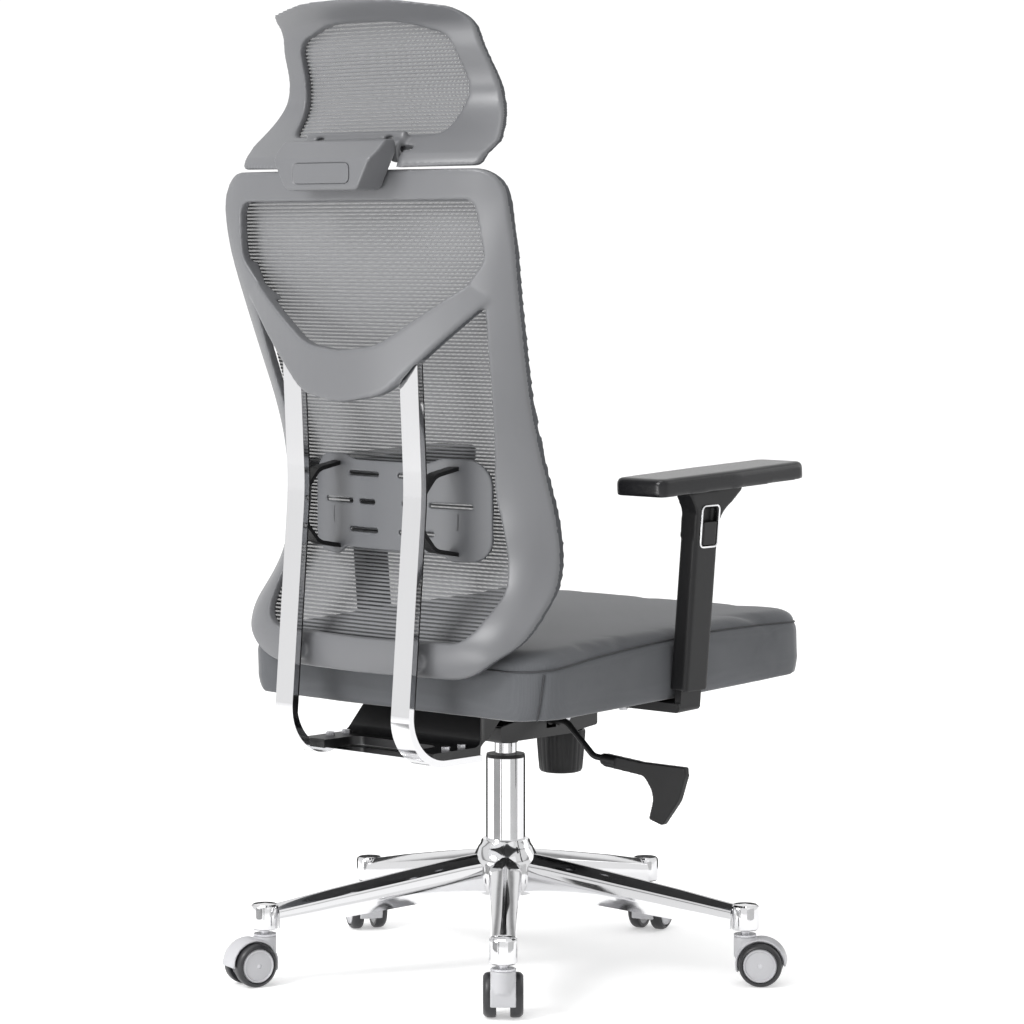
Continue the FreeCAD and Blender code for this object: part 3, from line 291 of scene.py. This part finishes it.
def open_mesh(name, see_through):
    """Ribbed open mesh: raised ribs, and courses of small holes between them darkened with painted shade."""
    result = material(name, MESH_GREY, 0.7)
    made, shader = nodes_of(result)
    here = add(made, "ShaderNodeTexCoord")
    split = add(made, "ShaderNodeSeparateXYZ")
    made.links.new(here.outputs["Object"], split.inputs[0])
    course = add(made, "ShaderNodeMath", operation="MULTIPLY")
    course.inputs[1].default_value = 2 * math.pi / RIB_PITCH
    made.links.new(split.outputs["Z"], course.inputs[0])
    rib = add(made, "ShaderNodeMath", operation="COSINE")
    made.links.new(course.outputs[0], rib.inputs[0])
    yarn = add(made, "ShaderNodeTexNoise", Scale=900.0, Detail=2.0)
    made.links.new(here.outputs["Object"], yarn.inputs["Vector"])
    tone = add(made, "ShaderNodeMath", operation="MULTIPLY_ADD")
    tone.inputs[1].default_value, tone.inputs[2].default_value = 0.9, -0.45
    made.links.new(yarn.outputs[0], tone.inputs[0])
    height = add(made, "ShaderNodeMath", operation="ADD")
    made.links.new(rib.outputs[0], height.inputs[0])
    made.links.new(tone.outputs[0], height.inputs[1])
    shift = add(made, "ShaderNodeMath", operation="MULTIPLY_ADD")
    shift.inputs[1].default_value, shift.inputs[2].default_value = 0.5, 0.5
    made.links.new(height.outputs[0], shift.inputs[0])
    # painted shade: the colour runs from the light rib crests down to dark in the courses between them
    made.links.new(ramp_of(made, shift.outputs[0], [(0.22, MESH_PAINTED_SHADE), (0.62, MESH_GREY)]),
                   shader.inputs["Base Color"])
    across = add(made, "ShaderNodeMath", operation="MULTIPLY")
    across.inputs[1].default_value = 2 * math.pi / 0.0019
    made.links.new(split.outputs["X"], across.inputs[0])
    bars = add(made, "ShaderNodeMath", operation="COSINE")
    made.links.new(across.outputs[0], bars.inputs[0])
    hole = add(made, "ShaderNodeMath", operation="MAXIMUM")
    made.links.new(rib.outputs[0], hole.inputs[0])
    made.links.new(bars.outputs[0], hole.inputs[1])
    open_share = add(made, "ShaderNodeMath", operation="MULTIPLY_ADD")
    open_share.inputs[1].default_value, open_share.inputs[2].default_value = 0.5, 0.5
    made.links.new(hole.outputs[0], open_share.inputs[0])
    made.links.new(ramp_of(made, open_share.outputs[0], [(0.30, 1 - see_through), (0.55, 1.0)]),
                   shader.inputs["Alpha"])
    return result


back_weave = open_mesh("back_mesh_weave", 0.68)
head_weave = open_mesh("head_mesh_weave", 0.62)

LOOKS = {"chrome": chrome, "steel": steel, "black_metal": black_metal, "grey_plastic": grey_plastic,
         "dark_grey_plastic": dark_plastic, "grey_mesh": back_weave, "seat_fabric": seat_fabric,
         "lined_board": lined_board, "pad_skin": pad_skin, "castor_grey": castor_grey, "castor_tread": tread,
         "black_plastic": black_plastic}
SLOTS = {row["node"]: row["material_slot"] for row in frame["record"]["subparts"]}
for name, obj in NODES.items():
    obj.data.materials.clear()
    obj.data.materials.append(LOOKS[SLOTS[name]])


# ---------------------------------------------------------------- mesh building

def piece(name, mesh, look, body, stands_for=()):
    """A new visible piece that rides on a body."""
    obj = bpy.data.objects.new(name, mesh)
    SCENE.collection.objects.link(obj)
    mesh.materials.clear()
    for item in look if isinstance(look, (list, tuple)) else [look]:
        mesh.materials.append(item)
    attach(obj, body)
    if stands_for:
        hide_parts(*stands_for)
    return obj


def mesh_from(name, points, faces, sharp=35):
    mesh = bpy.data.meshes.new(name)
    mesh.from_pydata([tuple(point) for point in points], [], faces)
    mesh.validate()
    smooth(mesh, sharp)
    return mesh


def smooth(mesh, sharp=35):
    bm = bmesh.new()
    bm.from_mesh(mesh)
    bmesh.ops.recalc_face_normals(bm, faces=bm.faces)
    bm.to_mesh(mesh)
    bm.free()
    mesh.polygons.foreach_set("use_smooth", [True] * len(mesh.polygons))
    mesh.set_sharp_from_angle(angle=math.radians(sharp))


def grid_faces(rows, columns, wrap_rows=False, wrap_columns=False, start=0):
    faces = []
    for i in range(rows if wrap_rows else rows - 1):
        for j in range(columns if wrap_columns else columns - 1):
            a, b = i * columns + j, i * columns + (j + 1) % columns
            c, d = (i + 1) % rows * columns + (j + 1) % columns, (i + 1) % rows * columns + j
            faces.append(tuple(start + index for index in (a, b, c, d)))
    return faces


def baked(obj):
    """The object's mesh with its modifiers applied, as a new mesh."""
    bpy.context.view_layer.update()
    graph = bpy.context.evaluated_depsgraph_get()
    return bpy.data.meshes.new_from_object(obj.evaluated_get(graph), depsgraph=graph)


def softened(source, voxel, rounds, factor=0.5, lie=Matrix.Identity(4)):
    """A closed mesh rebuilt in even cells and smoothed; lie is the turn that lays it along the cells."""
    helper = bpy.data.objects.new("helper", source.copy())
    helper.data.transform(lie)
    SCENE.collection.objects.link(helper)
    cells = helper.modifiers.new("cells", "REMESH")
    cells.mode, cells.voxel_size, cells.use_smooth_shade = "VOXEL", voxel, True
    ease = helper.modifiers.new("ease", "SMOOTH")
    ease.factor, ease.iterations = factor, rounds
    result = baked(helper)
    result.transform(lie.inverted())
    bpy.data.objects.remove(helper)
    return result


def moulded(node, voxel=0.0025, rounds=6):
    """A CAD node's moulding with rounded edges, in its place."""
    body = NODES[node]["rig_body"]
    mesh = softened(NODES[node].data, voxel, rounds)
    mesh.polygons.foreach_set("use_smooth", [True] * len(mesh.polygons))
    return piece(node + "_moulding", mesh, LOOKS[SLOTS[node]], body, (node,))


def lathe(profile, centre, axis, steps=48):
    """Points and faces of a closed (radius, along) profile turned about an axis through centre."""
    axis = Vector(axis).normalized()
    side = axis.cross(Vector((0, 0, 1)) if abs(axis.z) < 0.9 else Vector((1, 0, 0))).normalized()
    other = axis.cross(side)
    points = []
    for step in range(steps):
        turn = 2 * math.pi * step / steps
        out = side * math.cos(turn) + other * math.sin(turn)
        points += [Vector(centre) + out * radius + axis * along for radius, along in profile]
    return points, grid_faces(steps, len(profile), wrap_rows=True, wrap_columns=True)


def between(value, table):
    """Smooth reading of a table of (value, result) rows."""
    if value <= table[0][0]:
        return table[0][1]
    for k, ((low, first), (high, second)) in enumerate(zip(table, table[1:])):
        if value <= high:
            before = table[k - 1] if k else table[0]
            after = table[k + 2] if k + 2 < len(table) else table[-1]
            span = high - low
            slope_in = (second - before[1]) / max(high - before[0], 1e-9) * span
            slope_out = (after[1] - first) / max(after[0] - low, 1e-9) * span
            t = (value - low) / span
            return ((2 * t ** 3 - 3 * t ** 2 + 1) * first + (t ** 3 - 2 * t ** 2 + t) * slope_in
                    + (3 * t ** 2 - 2 * t ** 3) * second + (t ** 3 - t ** 2) * slope_out)
    return table[-1][1]


# ---------------------------------------------------------------- mouldings

for name in ("back_frame", "headrest_frame"):
    shell = moulded(name, 0.0018, 22)
    if name == "headrest_frame":
        for vertex in shell.data.vertices:
            vertex.co.z -= 0.005 * max(0, min(1, (1.028 - vertex.co.z) / 0.010)) * (abs(vertex.co.x) > 0.055)
    # the cloth is carried round the frame's front face, so its edge shows as a dark line
    shell.data.materials.append(edge_wrap)
    wrapped = []
    for face in shell.data.polygons:
        outward = face.normal.x * math.copysign(1, face.center.x)
        edge = abs(face.center.x) > 0.12 and outward > 0.2
        wrapped.append(face.normal.y < (0.08 if edge else -0.30))
    shell.data.polygons.foreach_set("material_index", wrapped)
moulded("headrest_bracket", 0.0016, 6)
moulded("bracket_cover", 0.0007, 3)


# ---------------------------------------------------------------- the meshes

def ribbed_sheet(node, name, look, step_x):
    """A ribbed cloth on the panel's rear face: one raised rib every pitch, as real relief."""
    low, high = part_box(node)
    source = NODES[node]
    rows = int((high.z - low.z) / RIB_PITCH * 6)
    columns = int((high.x - low.x) / step_x)
    points, index, faces = [], {}, []
    for i in range(rows + 1):
        z = low.z + (high.z - low.z) * i / rows
        lift = 0.00045 * math.cos(2 * math.pi * z / RIB_PITCH)
        for j in range(columns + 1):
            x = low.x + (high.x - low.x) * j / columns
            hit, spot = source.ray_cast(Vector((x, high.y + 0.1, z)), Vector((0, -1, 0)))[:2]
            if hit:
                index[i, j] = len(points)
                points.append(spot + Vector((0, lift - 0.0004, 0)))
    for i in range(rows):
        for j in range(columns):
            ring = [(i, j), (i, j + 1), (i + 1, j + 1), (i + 1, j)]
            if all(corner in index for corner in ring):
                faces.append(tuple(index[corner] for corner in ring))
    mesh = mesh_from(name, points, faces, 180)
    obj = piece(name, mesh, look, source["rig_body"], (node,))


ribbed_sheet("back_mesh", "back_mesh_cloth", back_weave, 0.008)
ribbed_sheet("headrest_mesh", "headrest_mesh_cloth", head_weave, 0.006)


# ---------------------------------------------------------------- castor wheels

def wheel(node, body):
    """Tyre and dished disc, turned about the node's own axle line."""
    hub = NODES[node]
    joint = [row for row in frame["joints"] if row["child"] == body][0]
    axis = Vector(joint["axis"]).normalized()
    centre = Vector(joint["pos_m"])
    reach = [(vertex.co - centre).dot(axis) for vertex in hub.data.vertices]
    side = 1 if sum(reach) > 0 else -1
    inner, outer = sorted((abs(min(reach)), abs(max(reach))))
    tyre = [(0.0218, inner), (0.0258, inner), (0.0270, inner + 0.0014), (0.02725, inner + 0.004),
            (0.02725, inner + 0.0075), (0.0270, inner + 0.0108), (0.0258, inner + 0.0134),
            (0.0240, inner + 0.0150), (0.0226, outer - 0.0004), (0.0218, outer - 0.0012)]
    disc = [(0.0031, inner + 0.0006), (0.0216, inner + 0.0006), (0.0216, outer - 0.0030),
            (0.0208, outer - 0.0016), (0.0200, outer - 0.0004), (0.0190, outer - 0.0002),
            (0.0183, outer - 0.0011), (0.0178, outer - 0.0016), (0.0110, outer - 0.0010),
            (0.0040, outer - 0.0007), (0.0031, outer - 0.0007)]
    points, faces = [], []
    marks = []
    for number, profile in enumerate((tyre, disc)):
        more, quads = lathe([(radius, along * side) for radius, along in profile], centre, axis, 64)
        faces += [tuple(corner + len(points) for corner in quad) for quad in quads]
        marks += [number] * len(quads)
        points += more
    mesh = mesh_from(node + "_tyre", points, faces, 40)
    obj = piece(node + "_tyred", mesh, [tread, castor_grey], body, (node,))
    mesh.polygons.foreach_set("material_index", marks)
    return obj


for k in range(1, 6):
    for side in ("left", "right"):
        wheel("castor_%d_wheel_%s" % (k, side), "castor_%d_%s" % (k, side))


# ---------------------------------------------------------------- chrome: bars and star base

def bevelled(node, width, segments=3):
    """Round a CAD node's own edges with a modifier; its mesh isn't changed."""
    edge = NODES[node].modifiers.new("edge", "BEVEL")
    edge.width, edge.segments, edge.limit_method = width, segments, "ANGLE"
    edge.angle_limit, edge.harden_normals = math.radians(40), True


def tube(path, radius, steps=10, closed=False):
    """Points and faces of a round tube along a path."""
    path = [Vector(point) for point in path]
    total = len(path)
    points = []
    for k, here in enumerate(path):
        ahead = path[(k + 1) % total] if closed or k < total - 1 else here
        back = path[k - 1] if closed or k else here
        along = (ahead - back).normalized()
        side = along.cross(Vector((0.13, 0.31, 0.94))).normalized()
        other = along.cross(side)
        points += [here + (side * math.cos(turn) + other * math.sin(turn)) * radius
                   for turn in [2 * math.pi * step / steps for step in range(steps)]]
    faces = grid_faces(total, steps, wrap_rows=closed, wrap_columns=True)
    if not closed:
        faces += [tuple(range(steps))[::-1], tuple(range((total - 1) * steps, total * steps))]
    return points, faces


def rounded_path(corners, steps=12):
    """Points along straight runs joined by arcs; corners are (a, b, radius) in one plane."""
    result = [Vector(corners[0][:2])]
    for before, here, after in zip(corners, corners[1:], corners[2:]):
        spot = Vector(here[:2])
        back, ahead = (Vector(before[:2]) - spot), (Vector(after[:2]) - spot)
        half = back.angle(ahead) / 2
        reach = min(here[2] / math.tan(half), 0.49 * back.length, 0.49 * ahead.length)
        radius = reach * math.tan(half)
        back.normalize()
        ahead.normalize()
        centre = spot + (back + ahead).normalized() * (radius / math.sin(half))
        first, last = spot + back * reach - centre, spot + ahead * reach - centre
        sweep = first.angle_signed(last)
        for step in range(steps + 1):
            turn = -sweep * step / steps
            result.append(centre + Vector((first.x * math.cos(turn) - first.y * math.sin(turn),
                                           first.x * math.sin(turn) + first.y * math.cos(turn))))
    return result + [Vector(corners[-1][:2])]


BAR_PATH = rounded_path([(0.2748, 0.786, 0), (0.2665, 0.625, 0.4), (0.2945, 0.298, 0.074), (0.205, 0.298, 0)])
BAR_SPREAD, BAR_FRONT, STRIP_THICK = 0.0995, 0.0043, 0.003

for name, side in (("left", 1), ("right", -1)):
    bevelled("back_bar_" + name, 0.0016)
    centre = side * BAR_SPREAD
    points, faces = [], []
    for low, high in ((-0.0138, -0.0088), (0.0088, 0.0138)):
        start = len(points)
        for k, spot in enumerate(BAR_PATH):
            ahead = BAR_PATH[min(k + 1, len(BAR_PATH) - 1)] - BAR_PATH[max(k - 1, 0)]
            inward = Vector((ahead.y, -ahead.x)).normalized()
            near, far = spot + inward * BAR_FRONT, spot + inward * (BAR_FRONT + STRIP_THICK)
            points += [Vector((centre + low, near.x, near.y)), Vector((centre + high, near.x, near.y)),
                       Vector((centre + high, far.x, far.y)), Vector((centre + low, far.x, far.y))]
        faces += grid_faces(len(BAR_PATH), 4, wrap_columns=True, start=start)
        faces += [(start, start + 1, start + 2, start + 3), tuple(range(len(points) - 4, len(points)))]
    piece("bar_channel_" + name, mesh_from("bar_channel_" + name, points, faces, 30), black_plastic, "seat")
bevelled("cross_plate", 0.0008, 2)

LEG_TURN, LEG_REACH, LEG_COUNT = math.radians(132.2), 0.315, 5
# along the leg: half width, underside, shoulder and ridge heights
LEG = [(0.030, 0.0215, 0.104, 0.136, 0.151), (0.060, 0.0208, 0.1005, 0.1315, 0.1468),
       (0.150, 0.0190, 0.0890, 0.1155, 0.1305), (0.230, 0.0172, 0.0788, 0.1020, 0.1155),
       (0.285, 0.0160, 0.0722, 0.0930, 0.1040), (0.300, 0.0158, 0.0705, 0.0905, 0.1010)]


def leg_section(half, low, shoulder, ridge):
    """Half-hollow roofed section: sides up to a shoulder, facets up to a soft ridge, hollow below."""
    inner = half - 0.003
    return [(half, low), (half, (low + shoulder) / 2), (half * 0.97, shoulder - 0.001),
            (half * 0.86, shoulder + (ridge - shoulder) * 0.30), (half * 0.20, ridge - 0.0012),
            (0, ridge - 0.0004), (-half * 0.20, ridge - 0.0012),
            (-half * 0.86, shoulder + (ridge - shoulder) * 0.30), (-half * 0.97, shoulder - 0.001),
            (-half, (low + shoulder) / 2), (-half, low), (-inner, low), (-inner * 0.8, ridge - 0.012),
            (inner * 0.8, ridge - 0.012), (inner, low)]


def star_base():
    points, faces = [], []
    for k in range(LEG_COUNT):
        turn = Matrix.Rotation(LEG_TURN + 2 * math.pi / LEG_COUNT * k, 3, "Z")
        start = len(points)
        for x, half, low, shoulder, ridge in LEG:
            points += [turn @ Vector((x, y, z)) for y, z in leg_section(half, low, shoulder, ridge)]
        count = len(leg_section(1, 0, 0, 0))
        faces += grid_faces(len(LEG), count, wrap_columns=True, start=start)
        faces += [tuple(range(start, start + count)), tuple(range(len(points) - count, len(points)))]
        cap = [(0.0055, 0.069), (0.0158, 0.069), (0.0173, 0.0705), (0.0175, 0.0735), (0.0175, 0.0955),
               (0.0168, 0.0985), (0.0145, 0.1005), (0.0, 0.1015), (0.0, 0.0935), (0.0055, 0.0930)]
        more, quads = lathe(cap, turn @ Vector((LEG_REACH, 0, 0)), (0, 0, 1), 40)
        faces += [tuple(corner + len(points) for corner in quad) for quad in quads]
        points += more
    hub = [(0.0251, 0.098), (0.0335, 0.098), (0.0375, 0.101), (0.0418, 0.1115), (0.0425, 0.116),
           (0.0425, 0.140), (0.0412, 0.1445), (0.0345, 0.1580), (0.0322, 0.1612), (0.0308, 0.1660),
           (0.0298, 0.168), (0.0251, 0.168)]
    more, quads = lathe(hub, (0, 0, 0), (0, 0, 1), 80)
    faces += [tuple(corner + len(points) for corner in quad) for quad in quads]
    points += more
    mesh = mesh_from("star_base_chromed", points, faces, 28)
    return piece("star_base_chromed", mesh, chrome, "base", ("star_base",))


star_base()


# ---------------------------------------------------------------- knob, arms, castor hoods, lumbar

def knob():
    """Grip with upright flutes, wider at its top."""
    centre = Vector((0, -0.105, 0))
    rows = [(0.0052, 0.2425), (0.0225, 0.2420), (0.0262, 0.2432), (0.0280, 0.2462), (0.0295, 0.262),
            (0.0310, 0.282), (0.0319, 0.2945), (0.0312, 0.2968), (0.0282, 0.2968), (0.0240, 0.2565),
            (0.0052, 0.2565)]
    steps, flutes = 192, 24
    points = []
    for step in range(steps):
        turn = 2 * math.pi * step / steps
        wave = 0.00055 * (0.5 + 0.5 * math.cos(flutes * turn)) ** 3
        for index, (radius, z) in enumerate(rows):
            depth = wave if 3 <= index <= 6 else 0
            reach = radius - depth
            points.append(centre + Vector((reach * math.cos(turn), reach * math.sin(turn), z)))
    faces = grid_faces(steps, len(rows), wrap_rows=True, wrap_columns=True)
    return piece("tension_knob_grip", mesh_from("knob", points, faces, 50), black_plastic, "knob",
                 ("tension_knob",))


knob()
for k in range(1, 6):
    moulded("castor_%d_hood" % k, 0.0013, 4)
moulded("lever_paddle", 0.0012, 4)

# The lumbar plate hangs on two sprung arms, arched back to the bars; the arms are drawn as black strips whose
# black also paints the shade in the gaps between them and the mesh. The CAD's plain shoes are pressed flat
# against the plate.
PLATE_REAR, PLATE_WRAP, PLATE_HALF = 0.212, 0.026, 0.150
plate = moulded("lumbar_plate", 0.0014, 4)
for vertex in plate.data.vertices:
    vertex.co.y = min(vertex.co.y, PLATE_REAR - PLATE_WRAP * (vertex.co.x / PLATE_HALF) ** 2)
ARM_HALF_WIDTH, ARM_HALF_THICK = 0.0075, 0.0025
ARCH = rounded_path([(0.198, 0.652, 0), (0.238, 0.645, 0.022), (0.259, 0.622, 0.014), (0.259, 0.578, 0.014),
                     (0.238, 0.555, 0.022), (0.198, 0.548, 0)], 8)
for name, side in (("left", 1), ("right", -1)):
    # black strips: each is the arm and the painted shade of the gap beside it, in one black
    points = []
    for k, spot in enumerate(ARCH):
        ahead = ARCH[min(k + 1, len(ARCH) - 1)] - ARCH[max(k - 1, 0)]
        out = Vector((ahead.y, -ahead.x)).normalized() * ARM_HALF_THICK
        for x, half in ((-1, out), (1, out), (1, -out), (-1, -out)):
            points.append(Vector((side * BAR_SPREAD + x * ARM_HALF_WIDTH, spot.x + half.x, spot.y + half.y)))
    faces = grid_faces(len(ARCH), 4, wrap_columns=True)
    faces += [(0, 1, 2, 3), tuple(range(len(points) - 4, len(points)))]
    piece("lumbar_arm_and_shadow_" + name, mesh_from("lumbar_arm_and_shadow_" + name, points, faces, 30), black_plastic, "lumbar")

ARM_SPREAD, ARM_PLACE_Y, ARM_SPLAY = 0.237, -0.043, math.radians(4.8)
RIM_HALF_Y, RIM_LOW, RIM_HIGH, RIM_CORNER = 0.0162, 0.5565, 0.6075, 0.006
RIM_OUT, RIM_RADIUS = 0.0133, 0.0014
for name, side in (("left", 1), ("right", -1)):
    moulded("arm_sleeve_" + name, 0.0016, 5)
    moulded("arm_button_" + name, 0.0009, 4)
    corners = [(across, height, RIM_CORNER) for across, height in
               ((RIM_HALF_Y, RIM_LOW), (RIM_HALF_Y, RIM_HIGH),
                (-RIM_HALF_Y, RIM_HIGH), (-RIM_HALF_Y, RIM_LOW))]
    loop = rounded_path([(0, RIM_LOW, 0)] + corners + [(0, RIM_LOW, 0)], 6)
    lean = Matrix.Translation((side * ARM_SPREAD, ARM_PLACE_Y, 0)) @ Matrix.Rotation(ARM_SPLAY * side, 4, "Y")
    path = [lean @ Vector((side * RIM_OUT, spot.x, spot.y)) for spot in loop[:-1]]
    points, faces = tube(path, RIM_RADIUS, 10, True)
    piece("arm_rim_" + name, mesh_from("arm_rim_" + name, points, faces, 60), chrome, "arm_" + name)


# ---------------------------------------------------------------- seat cushion

SEAT_TILT, SEAT_FOOT, SEAT_PIVOT = math.radians(2.2), 0.322, -0.060
# how high the top seam runs on the side, from the front back
SEAM_LEVEL = [(-0.30, 0.108), (-0.25, 0.112), (-0.115, 0.117), (-0.036, 0.117), (0.10, 0.112), (0.185, 0.106),
              (0.28, 0.103)]
FOOT_BAND = (0.020, 0.065)
# degrees round the rear corner at the seam's top and foot
SEAM_TURN = (34, 46)
CORNER_X, CORNER_Y = 0.194, 0.163
GROOVE_HALF, GROOVE_DEPTH = 0.012, 0.0022
THREAD_RADIUS, THREAD_SINK, SEAM_PARTS = 0.0011, 0.0010, 4
COVER_EASE = 0.004


def seat_rise(spot):
    """0 at the cushion's foot, 1 from half its height up."""
    level = (spot.y - SEAT_PIVOT) * math.sin(SEAT_TILT) + (spot.z - SEAT_FOOT) * math.cos(SEAT_TILT)
    return max(0, min(1, (level - FOOT_BAND[0]) / (FOOT_BAND[1] - FOOT_BAND[0])))


def seat_height(y, level):
    """Height of a level in the tilted seat's own frame."""
    return SEAT_FOOT + (level - (y - SEAT_PIVOT) * math.sin(SEAT_TILT)) / math.cos(SEAT_TILT)


def seat_pad():
    """Foam seat: rebuilt in even cells and blown up as cloth."""
    node = NODES["seat_cushion"]
    low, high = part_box("seat_cushion")
    middle = (low + high) / 2
    start = softened(node.data, 0.006, 3, lie=Matrix.Rotation(SEAT_TILT, 4, "X"))
    for vertex in start.vertices:
        away = vertex.co - middle
        vertex.co = middle + Vector((away.x, away.y, away.z * 0.95))
    helper = bpy.data.objects.new("seat_form", start)
    SCENE.collection.objects.link(helper)
    before = [vertex.co.copy() for vertex in start.vertices]
    cloth = helper.modifiers.new("cloth", "CLOTH")
    cloth.settings.effector_weights.gravity = 0
    cloth.settings.use_pressure = True
    cloth.settings.uniform_pressure_force = 4
    cloth.settings.quality = 6
    for number in range(1, 21):
        SCENE.frame_set(number)
    after = baked(helper)
    helper.modifiers.clear()
    for vertex, old, new in zip(start.vertices, before, after.vertices):
        move = new.co - old
        move *= min(1, 0.006 / max(move.length, 1e-6))
        vertex.co = old + move * seat_rise(old)
    SCENE.frame_set(1)
    more = helper.modifiers.new("finer", "SUBSURF")
    more.levels = more.render_levels = 1
    result = baked(helper)
    bpy.data.objects.remove(helper)
    # the sewn cover stands a little proud of the foam's drawn sides
    for axis in (0, 1):
        upper = [vertex.co[axis] for vertex in result.vertices if seat_rise(vertex.co) == 1]
        first, last = min(upper), max(upper)
        stretch = (high[axis] - low[axis] + 2 * COVER_EASE) / (last - first)
        for vertex in result.vertices:
            wide = middle[axis] + (vertex.co[axis] - (first + last) / 2) * stretch
            vertex.co[axis] += (wide - vertex.co[axis]) * seat_rise(vertex.co)
    return result


cushion_mesh = seat_pad()
cushion_mesh.polygons.foreach_set("use_smooth", [True] * len(cushion_mesh.polygons))
cushion = piece("seat_cushion_padded", cushion_mesh, seat_fabric, "seat", ("seat_cushion",))


def laid(outside, toward):
    """Where a straight line first meets the cushion, or None."""
    hit, spot = cushion.ray_cast(outside, toward)[:2]
    return spot if hit else None


def seams():
    """The top panel's seam, right round, and a seam down each rear corner."""
    bpy.context.view_layer.update()
    runs = []
    ring = []
    for step in range(360):
        turn = Vector((math.cos(math.radians(step)), math.sin(math.radians(step)), 0))
        centre = Vector((0, 0.015, 0))
        spot = centre + turn * 0.5
        for attempt in range(3):
            level = between(spot.y, SEAM_LEVEL)
            height = seat_height(spot.y, level)
            spot = laid(Vector((*(centre + turn * 0.6)[:2], height)), -turn)
        ring.append(spot)
    runs.append((ring, True))
    for side in (1, -1):
        down = []
        for step in range(41):
            share = step / 40
            turn = math.radians(SEAM_TURN[0] + (SEAM_TURN[1] - SEAM_TURN[0]) * share)
            out = Vector((side * math.cos(turn), math.sin(turn), 0))
            start = Vector((side * CORNER_X, CORNER_Y, 0)) + out * 0.2
            start.z = seat_height(start.y, 0.104 - 0.092 * share)
            down.append(laid(start, -out))
        runs.append(([spot for spot in down if spot], False))
    return runs


SEAMS = seams()
near = KDTree(sum(len(run) for run, closed in SEAMS) * SEAM_PARTS)
for run, closed in SEAMS:
    for k, spot in enumerate(run):
        ahead = run[(k + 1) % len(run)] if closed or k + 1 < len(run) else spot
        for part in range(SEAM_PARTS):
            near.insert(spot.lerp(ahead, part / SEAM_PARTS), 0)
near.balance()
centre = Vector((0, 0.015, 0.40))
for vertex in cushion_mesh.vertices:
    reach = near.find(vertex.co)[2]
    if reach < GROOVE_HALF:
        vertex.co += (centre - vertex.co).normalized() * GROOVE_DEPTH * (1 - reach / GROOVE_HALF) ** 2
points, faces = [], []
for run, closed in SEAMS:
    run = [spot + (centre - spot).normalized() * THREAD_SINK for spot in run]
    more, quads = tube(run, THREAD_RADIUS, 8, closed)
    faces += [tuple(corner + len(points) for corner in quad) for quad in quads]
    points += more
piece("seat_seams", mesh_from("seat_seams", points, faces, 60), seam_thread, "seat")


# ---------------------------------------------------------------- arm pads

for side in ("left", "right"):
    node = "arm_pad_" + side
    mesh = softened(NODES[node].data, 0.0022, 8)
    mesh.polygons.foreach_set("use_smooth", [True] * len(mesh.polygons))
    obj = piece(node + "_soft", mesh, pad_skin, "arm_" + side, (node,))


# ---------------------------------------------------------------- floor

bpy.ops.mesh.primitive_plane_add(size=30, location=(0, 0, 0))
floor = bpy.context.object
floor.name = "floor"
floor.data.materials.append(material("floor_white", (0.78, 0.78, 0.78), 0.9, Emission_Color=(1, 1, 1, 1),
                                     Emission_Strength=0.36))
